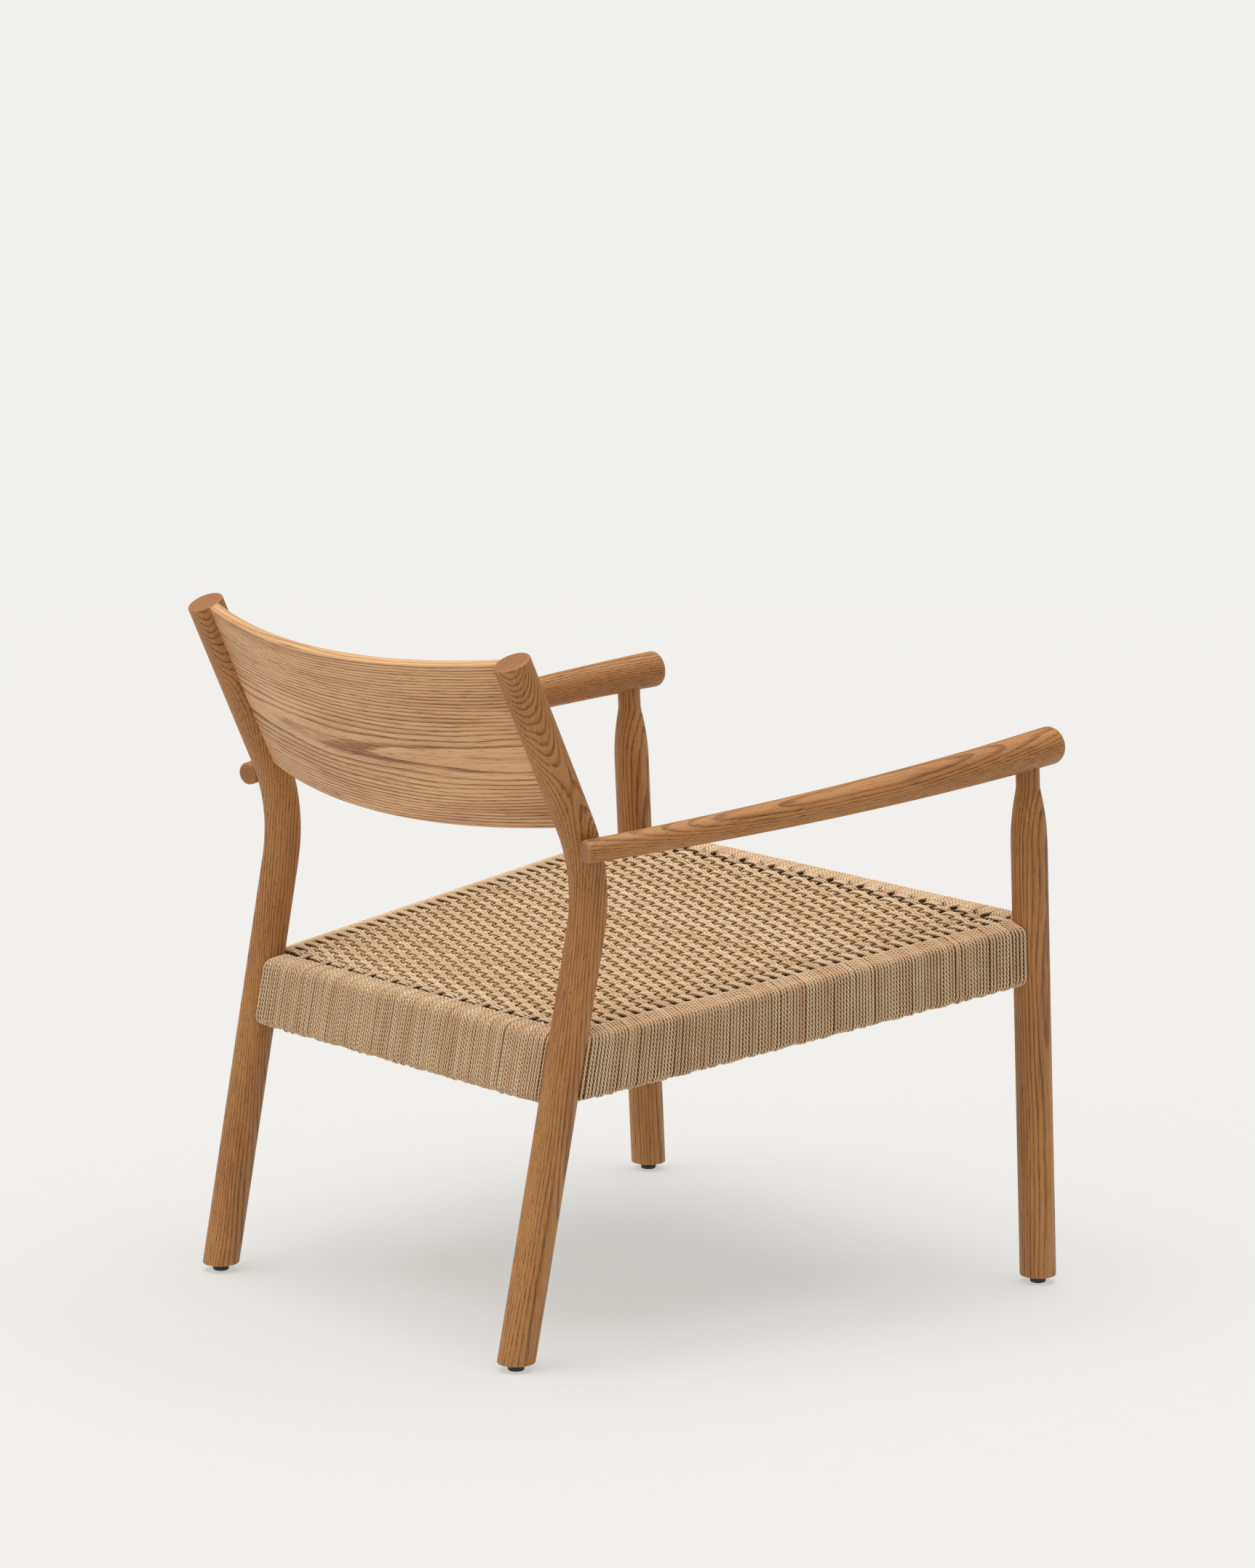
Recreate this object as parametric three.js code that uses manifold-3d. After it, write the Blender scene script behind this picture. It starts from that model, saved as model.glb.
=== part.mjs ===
// Oak lounge armchair with round legs, bowed round arms, a bent backrest panel
// and a seat woven from paper cord around four hidden rails.
//
// Millimetres, +Z up. The chair faces -Y, its left is +X, and it is symmetric
// about the plane X = 0. The origin is on the floor, in the middle of the
// chair's bounding box.

import * as THREE from 'three';
import { mergeVertices } from 'three/addons/utils/BufferGeometryUtils.js';
import Module from 'manifold-3d';

const wasm = await Module();
wasm.setup();

// ---------------------------------------------------------------------------
// Driving dimensions
// ---------------------------------------------------------------------------

const CLEARANCE = 0.3; // between pieces that touch on the real chair
const SEARCH_POINTS = 400; // along a path, when looking for its nearest point
const ROUND_SIDES = 20; // facets around a leg or an arm

// Legs. Points are on the leg's axis, for the +X side.
const LEG_RADIUS = 20;
const REAR_FOOT = new THREE.Vector3(266, 333.3, 0);
const REAR_KNEE = new THREE.Vector3(270.8, 230.3, 512);
const REAR_TOP = new THREE.Vector3(271.4, 338.7, 746.2);
const REAR_BEND = 64; // from the knee to each end of the bend
const BEND_STATIONS = 8;
const FRONT_FOOT = new THREE.Vector3(339.2, -336.2, 0);
const FRONT_TOP = new THREE.Vector3(342.6, -308, 589); // on the arm's axis
const NECK_RADIUS = 13; // front leg where it enters the arm
const NECK_TAPER = 62; // length over which the leg narrows to the neck
const NECK_STRAIGHT = 27; // neck above the taper, mostly inside the arm
const NECK_STATIONS = 6;

// Armrests: a round bar that bows outwards and thins towards the rear.
const ARM_REAR = new THREE.Vector3(298.5, 266.4, 544.7);
const ARM_FRONT = new THREE.Vector3(339.1, -349.8, 597.1);
const ARM_BOW = 36; // how far the curve's two middle control points stand out
const ARM_RADIUS_REAR = 12.4;
const ARM_RADIUS_FRONT = 21;
const ARM_STATIONS = 12;
const ARM_ROUND_REAR = 3; // edge rounding of the rear end
const ARM_ROUND_FRONT = 8; // edge rounding of the front end
const REAR_ROUND_STEPS = 3;
const FRONT_ROUND_STEPS = 4;

// Backrest: a bent panel whose ends are let into grooves in the rear legs.
const BACK_THICKNESS = 12.5;
const BACK_HALF_CHORD = 262;
const BACK_SAGITTA = 43;
const BACK_HEIGHT = 198; // along the leg's upper part
const BACK_TOP_DROP = 0.8; // panel's top edge below the leg's end
const BACK_SHIFT = -1.4; // chord behind (+) or before (-) the leg's axis
const GROOVE_OPEN = 20; // groove runs out through the leg's top
const BACK_STATIONS = 24;

// Seat. It slopes down to the rear. w is the height along the seat's normal.
const SEAT_HEIGHT = 377; // top of the cord above the floor, at Y = 0
const SEAT_TILT = THREE.MathUtils.degToRad(6.15);
const CORD = 4; // cord diameter, one layer of wrapping
const RAIL_THICKNESS = 23;
const RAIL_HEIGHT = 64;
const RAIL_ROUND = 8;
const RAIL_CORNER_STEPS = 4;
const RAIL_W = -(RAIL_HEIGHT / 2 + CORD); // rail's middle under the seat's top
const RAIL_IN_LEG = 12; // rail's end from the leg's axis, before coping
const WRAP_END_GAP = 2; // cord wrapping stops short of the leg
const CORNER_TRIM = 3.5; // and short of the next rail
const WEAVE_THICKNESS = 8; // two crossing layers of cord

// Dowels and glides.
const RAIL_DOWEL = { radius: 5, length: 46, from: -4 };
const CROSS_RAIL_DOWELS = [-20, 20]; // heights on the front and back rails
const SIDE_RAIL_DOWELS = [-7, 7]; // heights on the side rails
const ARM_FRONT_DOWEL = { radius: 6, length: 40, above: 2 }; // middle above the leg's top
const ARM_REAR_DOWEL = { radius: 4, length: 32 };
const BACK_DOWEL = { radius: 3, length: 28 };
const BACK_DOWEL_HEIGHTS = [45, 150]; // above the panel's lower edge
const DOWEL_CHAMFER = 1;
const DOWEL_SIDES = 10;
const GLIDE_HEIGHT = 8;
const GLIDE_RADIUS = 8.8;
const GLIDE_ROUND = 1.5;
const GLIDE_SHANK = { radius: 2, length: 16, tip: 4 };
const GLIDE_HOLE_SPARE = 1; // hole beyond the shank, at each end
const GLIDE_HOLE_SIDES = 12;

// ---------------------------------------------------------------------------
// Materials
// ---------------------------------------------------------------------------

function matte(color, roughness) {
  return new THREE.MeshStandardMaterial({ color, roughness, metalness: 0 });
}

const oak = () => matte(0xb98a58, 0.55);
const paleOak = () => matte(0xc79b69, 0.55);
const beech = () => matte(0xd2ab7c, 0.6);
const paperCord = () => matte(0xd3b58c, 0.85);
const blackPlastic = () => matte(0x1c1b1a, 0.5);

// ---------------------------------------------------------------------------
// Solids: conversion to and from manifold-3d, and the shared forms
// ---------------------------------------------------------------------------

function toSolid(geometry) {
  const bare = geometry.clone();
  bare.deleteAttribute('normal');
  bare.deleteAttribute('uv');
  const merged = mergeVertices(bare, 1e-4);
  const triangles = [];
  for (let i = 0; i < merged.index.count; i += 3) {
    const [a, b, c] = [0, 1, 2].map((k) => merged.index.getX(i + k));
    if (a !== b && b !== c && c !== a) triangles.push(a, b, c);
  }
  return new wasm.Manifold(new wasm.Mesh({
    numProp: 3,
    vertProperties: merged.attributes.position.array,
    triVerts: new Uint32Array(triangles),
  }));
}

function toGeometry(solid) {
  const mesh = solid.getMesh();
  const geometry = new THREE.BufferGeometry();
  geometry.setAttribute('position', new THREE.BufferAttribute(mesh.vertProperties, 3));
  geometry.setIndex(new THREE.BufferAttribute(mesh.triVerts, 1));
  geometry.computeVertexNormals();
  return geometry;
}

function cut(solid, ...tools) {
  return tools.reduce((rest, tool) => rest.subtract(tool), solid);
}

// A turned form around +Y, bent so that +Y follows the path. The profile holds
// [radius, distance along the path] pairs and starts and ends on the axis.
function roundMember(profile, path, sides = ROUND_SIDES) {
  const length = path.getLength();
  const points = profile.map(([radius, along]) => new THREE.Vector2(radius, along));
  const geometry = new THREE.LatheGeometry(points, sides);
  const position = geometry.attributes.position;
  for (let i = 0; i < position.count; i += 1) {
    const along = THREE.MathUtils.clamp(position.getY(i) / length, 0, 1);
    const centre = path.getPointAt(along);
    const tangent = path.getTangentAt(along);
    const across = new THREE.Vector3(1, 0, 0).addScaledVector(tangent, -tangent.x).normalize();
    const third = new THREE.Vector3().crossVectors(across, tangent);
    centre.addScaledVector(across, position.getX(i)).addScaledVector(third, position.getZ(i));
    position.setXYZ(i, centre.x, centre.y, centre.z);
  }
  return toSolid(geometry);
}

function dowelSolid({ radius, length }, grow = 0) {
  const half = length / 2 + grow;
  const wide = radius + grow;
  const chamfer = grow > 0 ? 0 : DOWEL_CHAMFER;
  const profile = [
    [0, -half],
    [wide - chamfer, -half],
    [wide, -half + chamfer],
    [wide, half - chamfer],
    [wide - chamfer, half],
    [0, half],
  ];
  const points = profile.map(([x, y]) => new THREE.Vector2(x, y));
  return new THREE.LatheGeometry(points, DOWEL_SIDES);
}

function roundedRectangle(width, height, radius) {
  const x = width / 2;
  const y = height / 2;
  const corners = [[x - radius, radius - y, -90], [x - radius, y - radius, 0],
    [radius - x, y - radius, 90], [radius - x, radius - y, 180]];
  const shape = new THREE.Shape();
  for (const [cx, cy, from] of corners) {
    const start = THREE.MathUtils.degToRad(from);
    shape.absarc(cx, cy, radius, start, start + Math.PI / 2, false);
  }
  shape.closePath();
  return shape;
}

// A matrix that sends +X, +Y and +Z to three directions and the origin to a point.
function basisAt(point, xDirection, yDirection, zDirection) {
  return new THREE.Matrix4().makeBasis(xDirection, yDirection, zDirection).setPosition(point);
}

function alongY(point, direction) {
  const turn = new THREE.Quaternion().setFromUnitVectors(new THREE.Vector3(0, 1, 0), direction);
  return new THREE.Matrix4().makeRotationFromQuaternion(turn).setPosition(point);
}

const mirrored = (point, side) => new THREE.Vector3(point.x * side, point.y, point.z);

// ---------------------------------------------------------------------------
// The chair as a scene graph
// ---------------------------------------------------------------------------

const chair = new THREE.Group();

function addPiece(name, solidOrGeometry, material, matrix = new THREE.Matrix4()) {
  const solid = solidOrGeometry.isBufferGeometry ? toSolid(solidOrGeometry) : solidOrGeometry;
  const mesh = new THREE.Mesh(toGeometry(solid), material);
  mesh.name = name;
  mesh.applyMatrix4(matrix);
  chair.add(mesh);
  return mesh;
}

// Each dowel is a piece of its own, and returns the hole that it needs.
function addDowel(name, size, centre, direction) {
  const matrix = alongY(centre, direction);
  addPiece(name, dowelSolid(size), beech(), matrix);
  return toSolid(dowelSolid(size, CLEARANCE).applyMatrix4(matrix));
}

// ---------------------------------------------------------------------------
// Paths of the round members
// ---------------------------------------------------------------------------

function rearLegPath(side) {
  const foot = mirrored(REAR_FOOT, side);
  const knee = mirrored(REAR_KNEE, side);
  const top = mirrored(REAR_TOP, side);
  const below = foot.clone().sub(knee).setLength(REAR_BEND).add(knee);
  const above = top.clone().sub(knee).setLength(REAR_BEND).add(knee);
  const path = new THREE.CurvePath();
  path.add(new THREE.LineCurve3(foot, below));
  path.add(new THREE.QuadraticBezierCurve3(below, knee, above));
  path.add(new THREE.LineCurve3(above, top));
  return path;
}

const frontLegPath = (side) => new THREE.LineCurve3(mirrored(FRONT_FOOT, side), mirrored(FRONT_TOP, side));

function armPath(side) {
  const rear = mirrored(ARM_REAR, side);
  const front = mirrored(ARM_FRONT, side);
  const bow = new THREE.Vector3(side * ARM_BOW, 0, 0);
  return new THREE.CubicBezierCurve3(
    rear,
    rear.clone().lerp(front, 1 / 3).add(bow),
    rear.clone().lerp(front, 2 / 3).add(bow),
    front,
  );
}

// ---------------------------------------------------------------------------
// Seat frame: coordinates x, u (rearwards in the seat's plane) and w (normal)
// ---------------------------------------------------------------------------

const seatMatrix = new THREE.Matrix4().makeRotationX(-SEAT_TILT).setPosition(0, 0, SEAT_HEIGHT);
const seatInverse = seatMatrix.clone().invert();
const toChair = (point) => point.clone().applyMatrix4(seatMatrix);
const directionToChair = (direction) => direction.clone().transformDirection(seatMatrix);

// Where a leg's axis passes the rails' mid-height, in the seat's coordinates.
function legCrossing(low, high) {
  const start = low.clone().applyMatrix4(seatInverse);
  const end = high.clone().applyMatrix4(seatInverse);
  return start.lerp(end, (RAIL_W - start.z) / (end.z - start.z));
}

const rearCrossing = legCrossing(REAR_FOOT, REAR_KNEE);
const frontCrossing = legCrossing(FRONT_FOOT, FRONT_TOP);

// How far a leg moves along u for each step up w. The front and back rails lean with their legs.
function legLean(low, high) {
  const rise = high.clone().applyMatrix4(seatInverse).sub(low.clone().applyMatrix4(seatInverse));
  return rise.y / rise.z;
}

const rearLean = legLean(REAR_FOOT, REAR_KNEE);
const frontLean = legLean(FRONT_FOOT, FRONT_TOP);

// Each rail runs between two leg axes; outward is its outer face's normal.
const railLines = {
  back: {
    start: mirrored(rearCrossing, -1),
    end: rearCrossing,
    dowels: CROSS_RAIL_DOWELS,
    lean: rearLean,
  },
  front: {
    start: frontCrossing,
    end: mirrored(frontCrossing, -1),
    dowels: CROSS_RAIL_DOWELS,
    lean: frontLean,
  },
  left: {
    start: rearCrossing,
    end: frontCrossing,
    dowels: SIDE_RAIL_DOWELS,
    lean: 0,
  },
  right: {
    start: mirrored(frontCrossing, -1),
    end: mirrored(rearCrossing, -1),
    dowels: SIDE_RAIL_DOWELS,
    lean: 0,
  },
};

// A rail's top and bottom stay level with the seat; its two faces follow the lean.
function railMatrix({ start, end, lean }) {
  const along = end.clone().sub(start).normalize();
  const outward = new THREE.Vector3().crossVectors(new THREE.Vector3(0, 0, 1), along);
  const up = new THREE.Vector3(0, lean, 1);
  return seatMatrix.clone().multiply(basisAt(start, outward, up, along));
}

// A bar of the given section along a rail's line, shortened at both ends.
function railBar(rail, section, endGap) {
  const length = rail.start.distanceTo(rail.end) - 2 * endGap;
  const shape = { depth: length, bevelEnabled: false, curveSegments: RAIL_CORNER_STEPS };
  const geometry = new THREE.ExtrudeGeometry(section, shape);
  geometry.translate(0, 0, endGap);
  return toSolid(geometry.applyMatrix4(railMatrix(rail)));
}

// ---------------------------------------------------------------------------
// Backrest panel, in the plane square to the rear legs' upper parts
// ---------------------------------------------------------------------------

const backUp = new THREE.Vector3(0, REAR_TOP.y - REAR_KNEE.y, REAR_TOP.z - REAR_KNEE.z).normalize();
const backRear = new THREE.Vector3(0, backUp.z, -backUp.y);
const backTop = new THREE.Vector3(0, REAR_TOP.y, REAR_TOP.z).addScaledVector(backUp, -BACK_TOP_DROP);
const backFoot = backTop.clone().addScaledVector(backUp, -BACK_HEIGHT);
const backMatrix = basisAt(backFoot, new THREE.Vector3(1, 0, 0), backRear, backUp);
const BACK_RADIUS = (BACK_HALF_CHORD ** 2 + BACK_SAGITTA ** 2) / (2 * BACK_SAGITTA);
const BACK_ANGLE = Math.asin(BACK_HALF_CHORD / BACK_RADIUS);

function backPanel(grow, extraHeight) {
  const reach = BACK_ANGLE + grow / BACK_RADIUS;
  const half = BACK_THICKNESS / 2 + grow;
  const centreV = BACK_SHIFT + BACK_SAGITTA - BACK_RADIUS;
  const from = Math.PI / 2 - reach;
  const to = Math.PI / 2 + reach;
  const shape = new THREE.Shape();
  shape.absarc(0, centreV, BACK_RADIUS + half, from, to, false);
  shape.absarc(0, centreV, BACK_RADIUS - half, to, from, true);
  shape.closePath();
  const depth = BACK_HEIGHT + grow + extraHeight;
  const settings = { depth, bevelEnabled: false, curveSegments: BACK_STATIONS };
  const geometry = new THREE.ExtrudeGeometry(shape, settings);
  geometry.translate(0, 0, -grow);
  return toSolid(geometry.applyMatrix4(backMatrix));
}

// ---------------------------------------------------------------------------
// Pieces on each side: legs, arms, their dowels and the glides
// ---------------------------------------------------------------------------

const FLOOR_BLOCK = { size: 1000, depth: 100 };
const floorBlock = new THREE.BoxGeometry(FLOOR_BLOCK.size, FLOOR_BLOCK.size, FLOOR_BLOCK.depth);
const floorCut = toSolid(floorBlock.translate(0, 0, GLIDE_HEIGHT - FLOOR_BLOCK.depth / 2));

// A leg of constant thickness, with stations only where its path bends.
function legSolid(path, extra = 0) {
  const length = path.getLength();
  const radius = LEG_RADIUS + extra;
  const profile = [[0, 0], [radius, 0]];
  if (path.curves) {
    const [straight, bend] = path.curves.map((curve) => curve.getLength());
    for (let i = 0; i <= BEND_STATIONS; i += 1) {
      profile.push([radius, straight + (bend * i) / BEND_STATIONS]);
    }
  }
  profile.push([radius, length], [0, length]);
  return roundMember(profile, path);
}

function frontLegSolid(path) {
  const length = path.getLength();
  const taperEnd = length - NECK_STRAIGHT;
  const profile = [[0, 0], [LEG_RADIUS, 0], [LEG_RADIUS, taperEnd - NECK_TAPER]];
  for (let i = 1; i <= NECK_STATIONS; i += 1) {
    const t = i / NECK_STATIONS;
    profile.push([LEG_RADIUS - (LEG_RADIUS - NECK_RADIUS) * t * t, taperEnd - NECK_TAPER * (1 - t)]);
  }
  profile.push([NECK_RADIUS, length], [0, length]);
  return roundMember(profile, path);
}

function armSolid(path, extra = 0) {
  const length = path.getLength();
  const widening = (ARM_RADIUS_FRONT - ARM_RADIUS_REAR) / length;
  const radiusAt = (along) => ARM_RADIUS_REAR + widening * along + extra;
  const profile = [[0, 0]];
  for (let i = 0; i <= REAR_ROUND_STEPS; i += 1) {
    const turn = (i / REAR_ROUND_STEPS) * (Math.PI / 2);
    const inset = ARM_ROUND_REAR * (1 - Math.sin(turn));
    profile.push([radiusAt(0) - inset, ARM_ROUND_REAR * (1 - Math.cos(turn))]);
  }
  const bodyEnd = length - ARM_ROUND_FRONT;
  for (let i = 1; i <= ARM_STATIONS; i += 1) {
    const along = THREE.MathUtils.lerp(ARM_ROUND_REAR, bodyEnd, i / ARM_STATIONS);
    profile.push([radiusAt(along), along]);
  }
  for (let i = 1; i <= FRONT_ROUND_STEPS; i += 1) {
    const turn = (i / FRONT_ROUND_STEPS) * (Math.PI / 2);
    const inset = ARM_ROUND_FRONT * (1 - Math.cos(turn));
    profile.push([radiusAt(bodyEnd) - inset, bodyEnd + ARM_ROUND_FRONT * Math.sin(turn)]);
  }
  profile.push([0, length]);
  return roundMember(profile, path);
}

function glideGeometry() {
  const bottom = GLIDE_ROUND;
  const profile = [
    [0, 0],
    [GLIDE_RADIUS - bottom, 0],
    [GLIDE_RADIUS, bottom],
    [GLIDE_RADIUS, GLIDE_HEIGHT - CLEARANCE],
    [GLIDE_SHANK.radius, GLIDE_HEIGHT - CLEARANCE],
    [GLIDE_SHANK.radius, GLIDE_HEIGHT + GLIDE_SHANK.length - GLIDE_SHANK.tip],
    [0, GLIDE_HEIGHT + GLIDE_SHANK.length],
  ];
  const points = profile.map(([x, y]) => new THREE.Vector2(x, y));
  return new THREE.LatheGeometry(points, ROUND_SIDES).rotateX(Math.PI / 2);
}

function glideHole(x, y) {
  const radius = GLIDE_SHANK.radius + CLEARANCE;
  const length = GLIDE_SHANK.length + 2 * GLIDE_HOLE_SPARE;
  const hole = new THREE.CylinderGeometry(radius, radius, length, GLIDE_HOLE_SIDES);
  const middle = GLIDE_HEIGHT + GLIDE_SHANK.length / 2;
  return toSolid(hole.rotateX(Math.PI / 2).translate(x, y, middle));
}

// The point of a path that is nearest to another point.
function nearestOn(path, point) {
  const points = path.getSpacedPoints(SEARCH_POINTS);
  return points.reduce((best, p) => (p.distanceTo(point) < best.distanceTo(point) ? p : best));
}

// Leg axis at the leg's underside, where the glide is nailed in.
const soleOf = (foot, next) => foot.clone().lerp(next, GLIDE_HEIGHT / next.z);

// Holes in each leg, by leg name, filled while the dowels are placed.
const legHoles = { rear_left: [], rear_right: [], front_left: [], front_right: [] };

// Seat rails with their dowels.
const legAt = {
  back: ['rear_right', 'rear_left'],
  front: ['front_left', 'front_right'],
  left: ['rear_left', 'front_left'],
  right: ['front_right', 'rear_right'],
};

// The four legs grown by a gap, to trim what butts against them.
const grownLegs = (gap) => ({
  rear_left: legSolid(rearLegPath(1), gap),
  rear_right: legSolid(rearLegPath(-1), gap),
  front_left: legSolid(frontLegPath(1), gap),
  front_right: legSolid(frontLegPath(-1), gap),
});
const legClearance = grownLegs(CLEARANCE);
const wrapClearance = grownLegs(WRAP_END_GAP);

for (const [place, rail] of Object.entries(railLines)) {
  const along = rail.end.clone().sub(rail.start).normalize();
  const holes = [];
  legAt[place].forEach((leg, index) => {
    const axis = index === 0 ? rail.start : rail.end;
    const inward = index === 0 ? 1 : -1;
    const reach = inward * (RAIL_DOWEL.from + RAIL_DOWEL.length / 2);
    rail.dowels.forEach((height, k) => {
      const centre = axis.clone().addScaledVector(along, reach);
      centre.z += height;
      centre.y += height * rail.lean;
      const level = k === 0 ? 'lower' : 'upper';
      const name = `dowel_${place}_rail_to_${leg}_leg_${level}`;
      const hole = addDowel(name, RAIL_DOWEL, toChair(centre), directionToChair(along));
      holes.push(hole);
      legHoles[leg].push(hole);
    });
  });
  const [legA, legB] = legAt[place].map((leg) => legClearance[leg]);
  const core = railBar(rail, roundedRectangle(RAIL_THICKNESS, RAIL_HEIGHT, RAIL_ROUND), RAIL_IN_LEG);
  addPiece(`seat_rail_${place}`, cut(core, legA, legB, ...holes), paleOak());

  const outer = roundedRectangle(RAIL_THICKNESS + 2 * CORD, RAIL_HEIGHT + 2 * CORD, RAIL_ROUND + CORD);
  const inner = roundedRectangle(RAIL_THICKNESS + 2 * CLEARANCE, RAIL_HEIGHT + 2 * CLEARANCE, RAIL_ROUND);
  outer.holes.push(inner);
  const wrapCuts = legAt[place].map((leg) => wrapClearance[leg]);
  const sleeve = railBar(rail, outer, RAIL_THICKNESS / 2 + CORD + CORNER_TRIM);
  addPiece(`cord_wrap_${place}`, cut(sleeve, ...wrapCuts), paperCord());
}

// Woven field between the four wrapped rails.
const inset = RAIL_THICKNESS / 2 + CORD + CLEARANCE;
const sideLean = (frontCrossing.x - rearCrossing.x) / (rearCrossing.y - frontCrossing.y);
const sideInset = inset * Math.hypot(1, sideLean);
const fieldRear = rearCrossing.y - inset - rearLean * RAIL_W;
const fieldFront = frontCrossing.y + inset - frontLean * (RAIL_W + WEAVE_THICKNESS);
const halfWidthAt = (u) => rearCrossing.x + sideLean * (rearCrossing.y - u) - sideInset;
const field = new THREE.Shape([
  new THREE.Vector2(-halfWidthAt(fieldFront), fieldFront),
  new THREE.Vector2(halfWidthAt(fieldFront), fieldFront),
  new THREE.Vector2(halfWidthAt(fieldRear), fieldRear),
  new THREE.Vector2(-halfWidthAt(fieldRear), fieldRear),
]);
const weave = new THREE.ExtrudeGeometry(field, { depth: WEAVE_THICKNESS, bevelEnabled: false });
weave.translate(0, 0, -WEAVE_THICKNESS);
const weaveSolid = toSolid(weave.applyMatrix4(seatMatrix));
addPiece('seat_weave', cut(weaveSolid, ...Object.values(legClearance)), paperCord());

for (const [sideName, side] of [['left', 1], ['right', -1]]) {
  const rearPath = rearLegPath(side);
  const frontPath = frontLegPath(side);
  const path = armPath(side);
  const rearHoles = legHoles[`rear_${sideName}`];
  const frontHoles = legHoles[`front_${sideName}`];

  // Backrest dowels follow the panel's direction where it meets the leg.
  const backHoles = [];
  const endAngle = Math.PI / 2 - side * BACK_ANGLE;
  const inPlane = (radius, height) => new THREE.Vector3(
    radius * Math.cos(endAngle),
    radius * Math.sin(endAngle) + BACK_SHIFT + BACK_SAGITTA - BACK_RADIUS,
    height,
  ).applyMatrix4(backMatrix);
  const tangent = new THREE.Vector3(-Math.sin(endAngle), Math.cos(endAngle), 0);
  tangent.transformDirection(backMatrix);
  BACK_DOWEL_HEIGHTS.forEach((height, k) => {
    const name = `dowel_backrest_${sideName}_${k === 0 ? 'lower' : 'upper'}`;
    backHoles.push(addDowel(name, BACK_DOWEL, inPlane(BACK_RADIUS, height), tangent));
  });
  rearHoles.push(...backHoles);
  legHoles[`back_${sideName}`] = backHoles;

  // Armrest dowels: across into the rear leg, and up the front leg's axis.
  const onRearLeg = nearestOn(rearPath, mirrored(ARM_REAR, side));
  const onArm = nearestOn(path, onRearLeg);
  const across = onArm.clone().sub(onRearLeg).normalize();
  const joint = onRearLeg.clone().addScaledVector(across, LEG_RADIUS);
  const rearHole = addDowel(`dowel_armrest_${sideName}_rear`, ARM_REAR_DOWEL, joint, across);
  rearHoles.push(rearHole);

  const frontUp = frontPath.getTangentAt(1);
  const armCentre = nearestOn(path, mirrored(FRONT_TOP, side));
  const frontRise = ARM_FRONT_DOWEL.above - ARM_RADIUS_FRONT;
  const frontCentre = armCentre.clone().addScaledVector(frontUp, frontRise);
  const frontHole = addDowel(`dowel_armrest_${sideName}_front`, ARM_FRONT_DOWEL, frontCentre, frontUp);
  frontHoles.push(frontHole);

  const legTube = legSolid(rearPath);
  const rearSole = soleOf(mirrored(REAR_FOOT, side), mirrored(REAR_KNEE, side));
  const rearGlideHole = glideHole(rearSole.x, rearSole.y);
  const groove = backPanel(CLEARANCE, GROOVE_OPEN);
  addPiece(`rear_leg_${sideName}`, cut(legTube, floorCut, rearGlideHole, groove, ...rearHoles), oak());

  const frontSole = soleOf(mirrored(FRONT_FOOT, side), mirrored(FRONT_TOP, side));
  const frontGlideHole = glideHole(frontSole.x, frontSole.y);
  const armClearance = armSolid(path, CLEARANCE);
  const frontLeg = cut(frontLegSolid(frontPath), floorCut, frontGlideHole, armClearance, ...frontHoles);
  addPiece(`front_leg_${sideName}`, frontLeg, oak());

  const arm = cut(armSolid(path), legClearance[`rear_${sideName}`], rearHole, frontHole);
  addPiece(`armrest_${sideName}`, arm, oak());

  for (const [end, sole] of [['rear', rearSole], ['front', frontSole]]) {
    const place = new THREE.Matrix4().makeTranslation(sole.x, sole.y, 0);
    addPiece(`glide_${end}_${sideName}`, glideGeometry(), blackPlastic(), place);
  }
}

const panel = cut(backPanel(0, 0), ...legHoles.back_left, ...legHoles.back_right);
addPiece('backrest_panel', panel, paleOak());

// Put the origin in the middle of the bounding box, front to back.
const bounds = new THREE.Box3().setFromObject(chair);
chair.position.y = -(bounds.min.y + bounds.max.y) / 2;
chair.updateMatrixWorld(true);

export default chair;
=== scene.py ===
import math

import bpy
import numpy as np
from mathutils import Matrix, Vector


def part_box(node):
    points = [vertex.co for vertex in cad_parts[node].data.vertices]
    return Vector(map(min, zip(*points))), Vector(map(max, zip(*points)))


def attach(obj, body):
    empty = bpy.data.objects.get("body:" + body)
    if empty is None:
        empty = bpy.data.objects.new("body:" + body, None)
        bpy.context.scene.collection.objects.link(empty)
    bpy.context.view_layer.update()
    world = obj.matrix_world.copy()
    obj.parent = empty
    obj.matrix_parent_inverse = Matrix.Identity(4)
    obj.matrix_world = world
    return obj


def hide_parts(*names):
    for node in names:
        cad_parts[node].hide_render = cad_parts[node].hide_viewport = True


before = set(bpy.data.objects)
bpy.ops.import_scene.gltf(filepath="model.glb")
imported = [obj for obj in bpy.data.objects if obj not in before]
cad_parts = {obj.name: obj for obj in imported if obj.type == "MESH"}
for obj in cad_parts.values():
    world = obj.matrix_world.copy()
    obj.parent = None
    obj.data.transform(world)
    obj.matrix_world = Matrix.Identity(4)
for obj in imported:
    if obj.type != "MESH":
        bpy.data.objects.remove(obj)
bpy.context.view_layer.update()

# Oak lounge armchair with a woven paper-cord seat. Metres, +Z up, left is +X, the front faces -Y.
SIDES = {"left": 1, "right": -1}
GLIDE_HEIGHT = 0.008
FEET = {}
for place in ("rear", "front"):
    low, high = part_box(f"glide_{place}_left")
    FEET[place] = np.array([(low[0] + high[0]) / 2, (low[1] + high[1]) / 2, GLIDE_HEIGHT])

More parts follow.
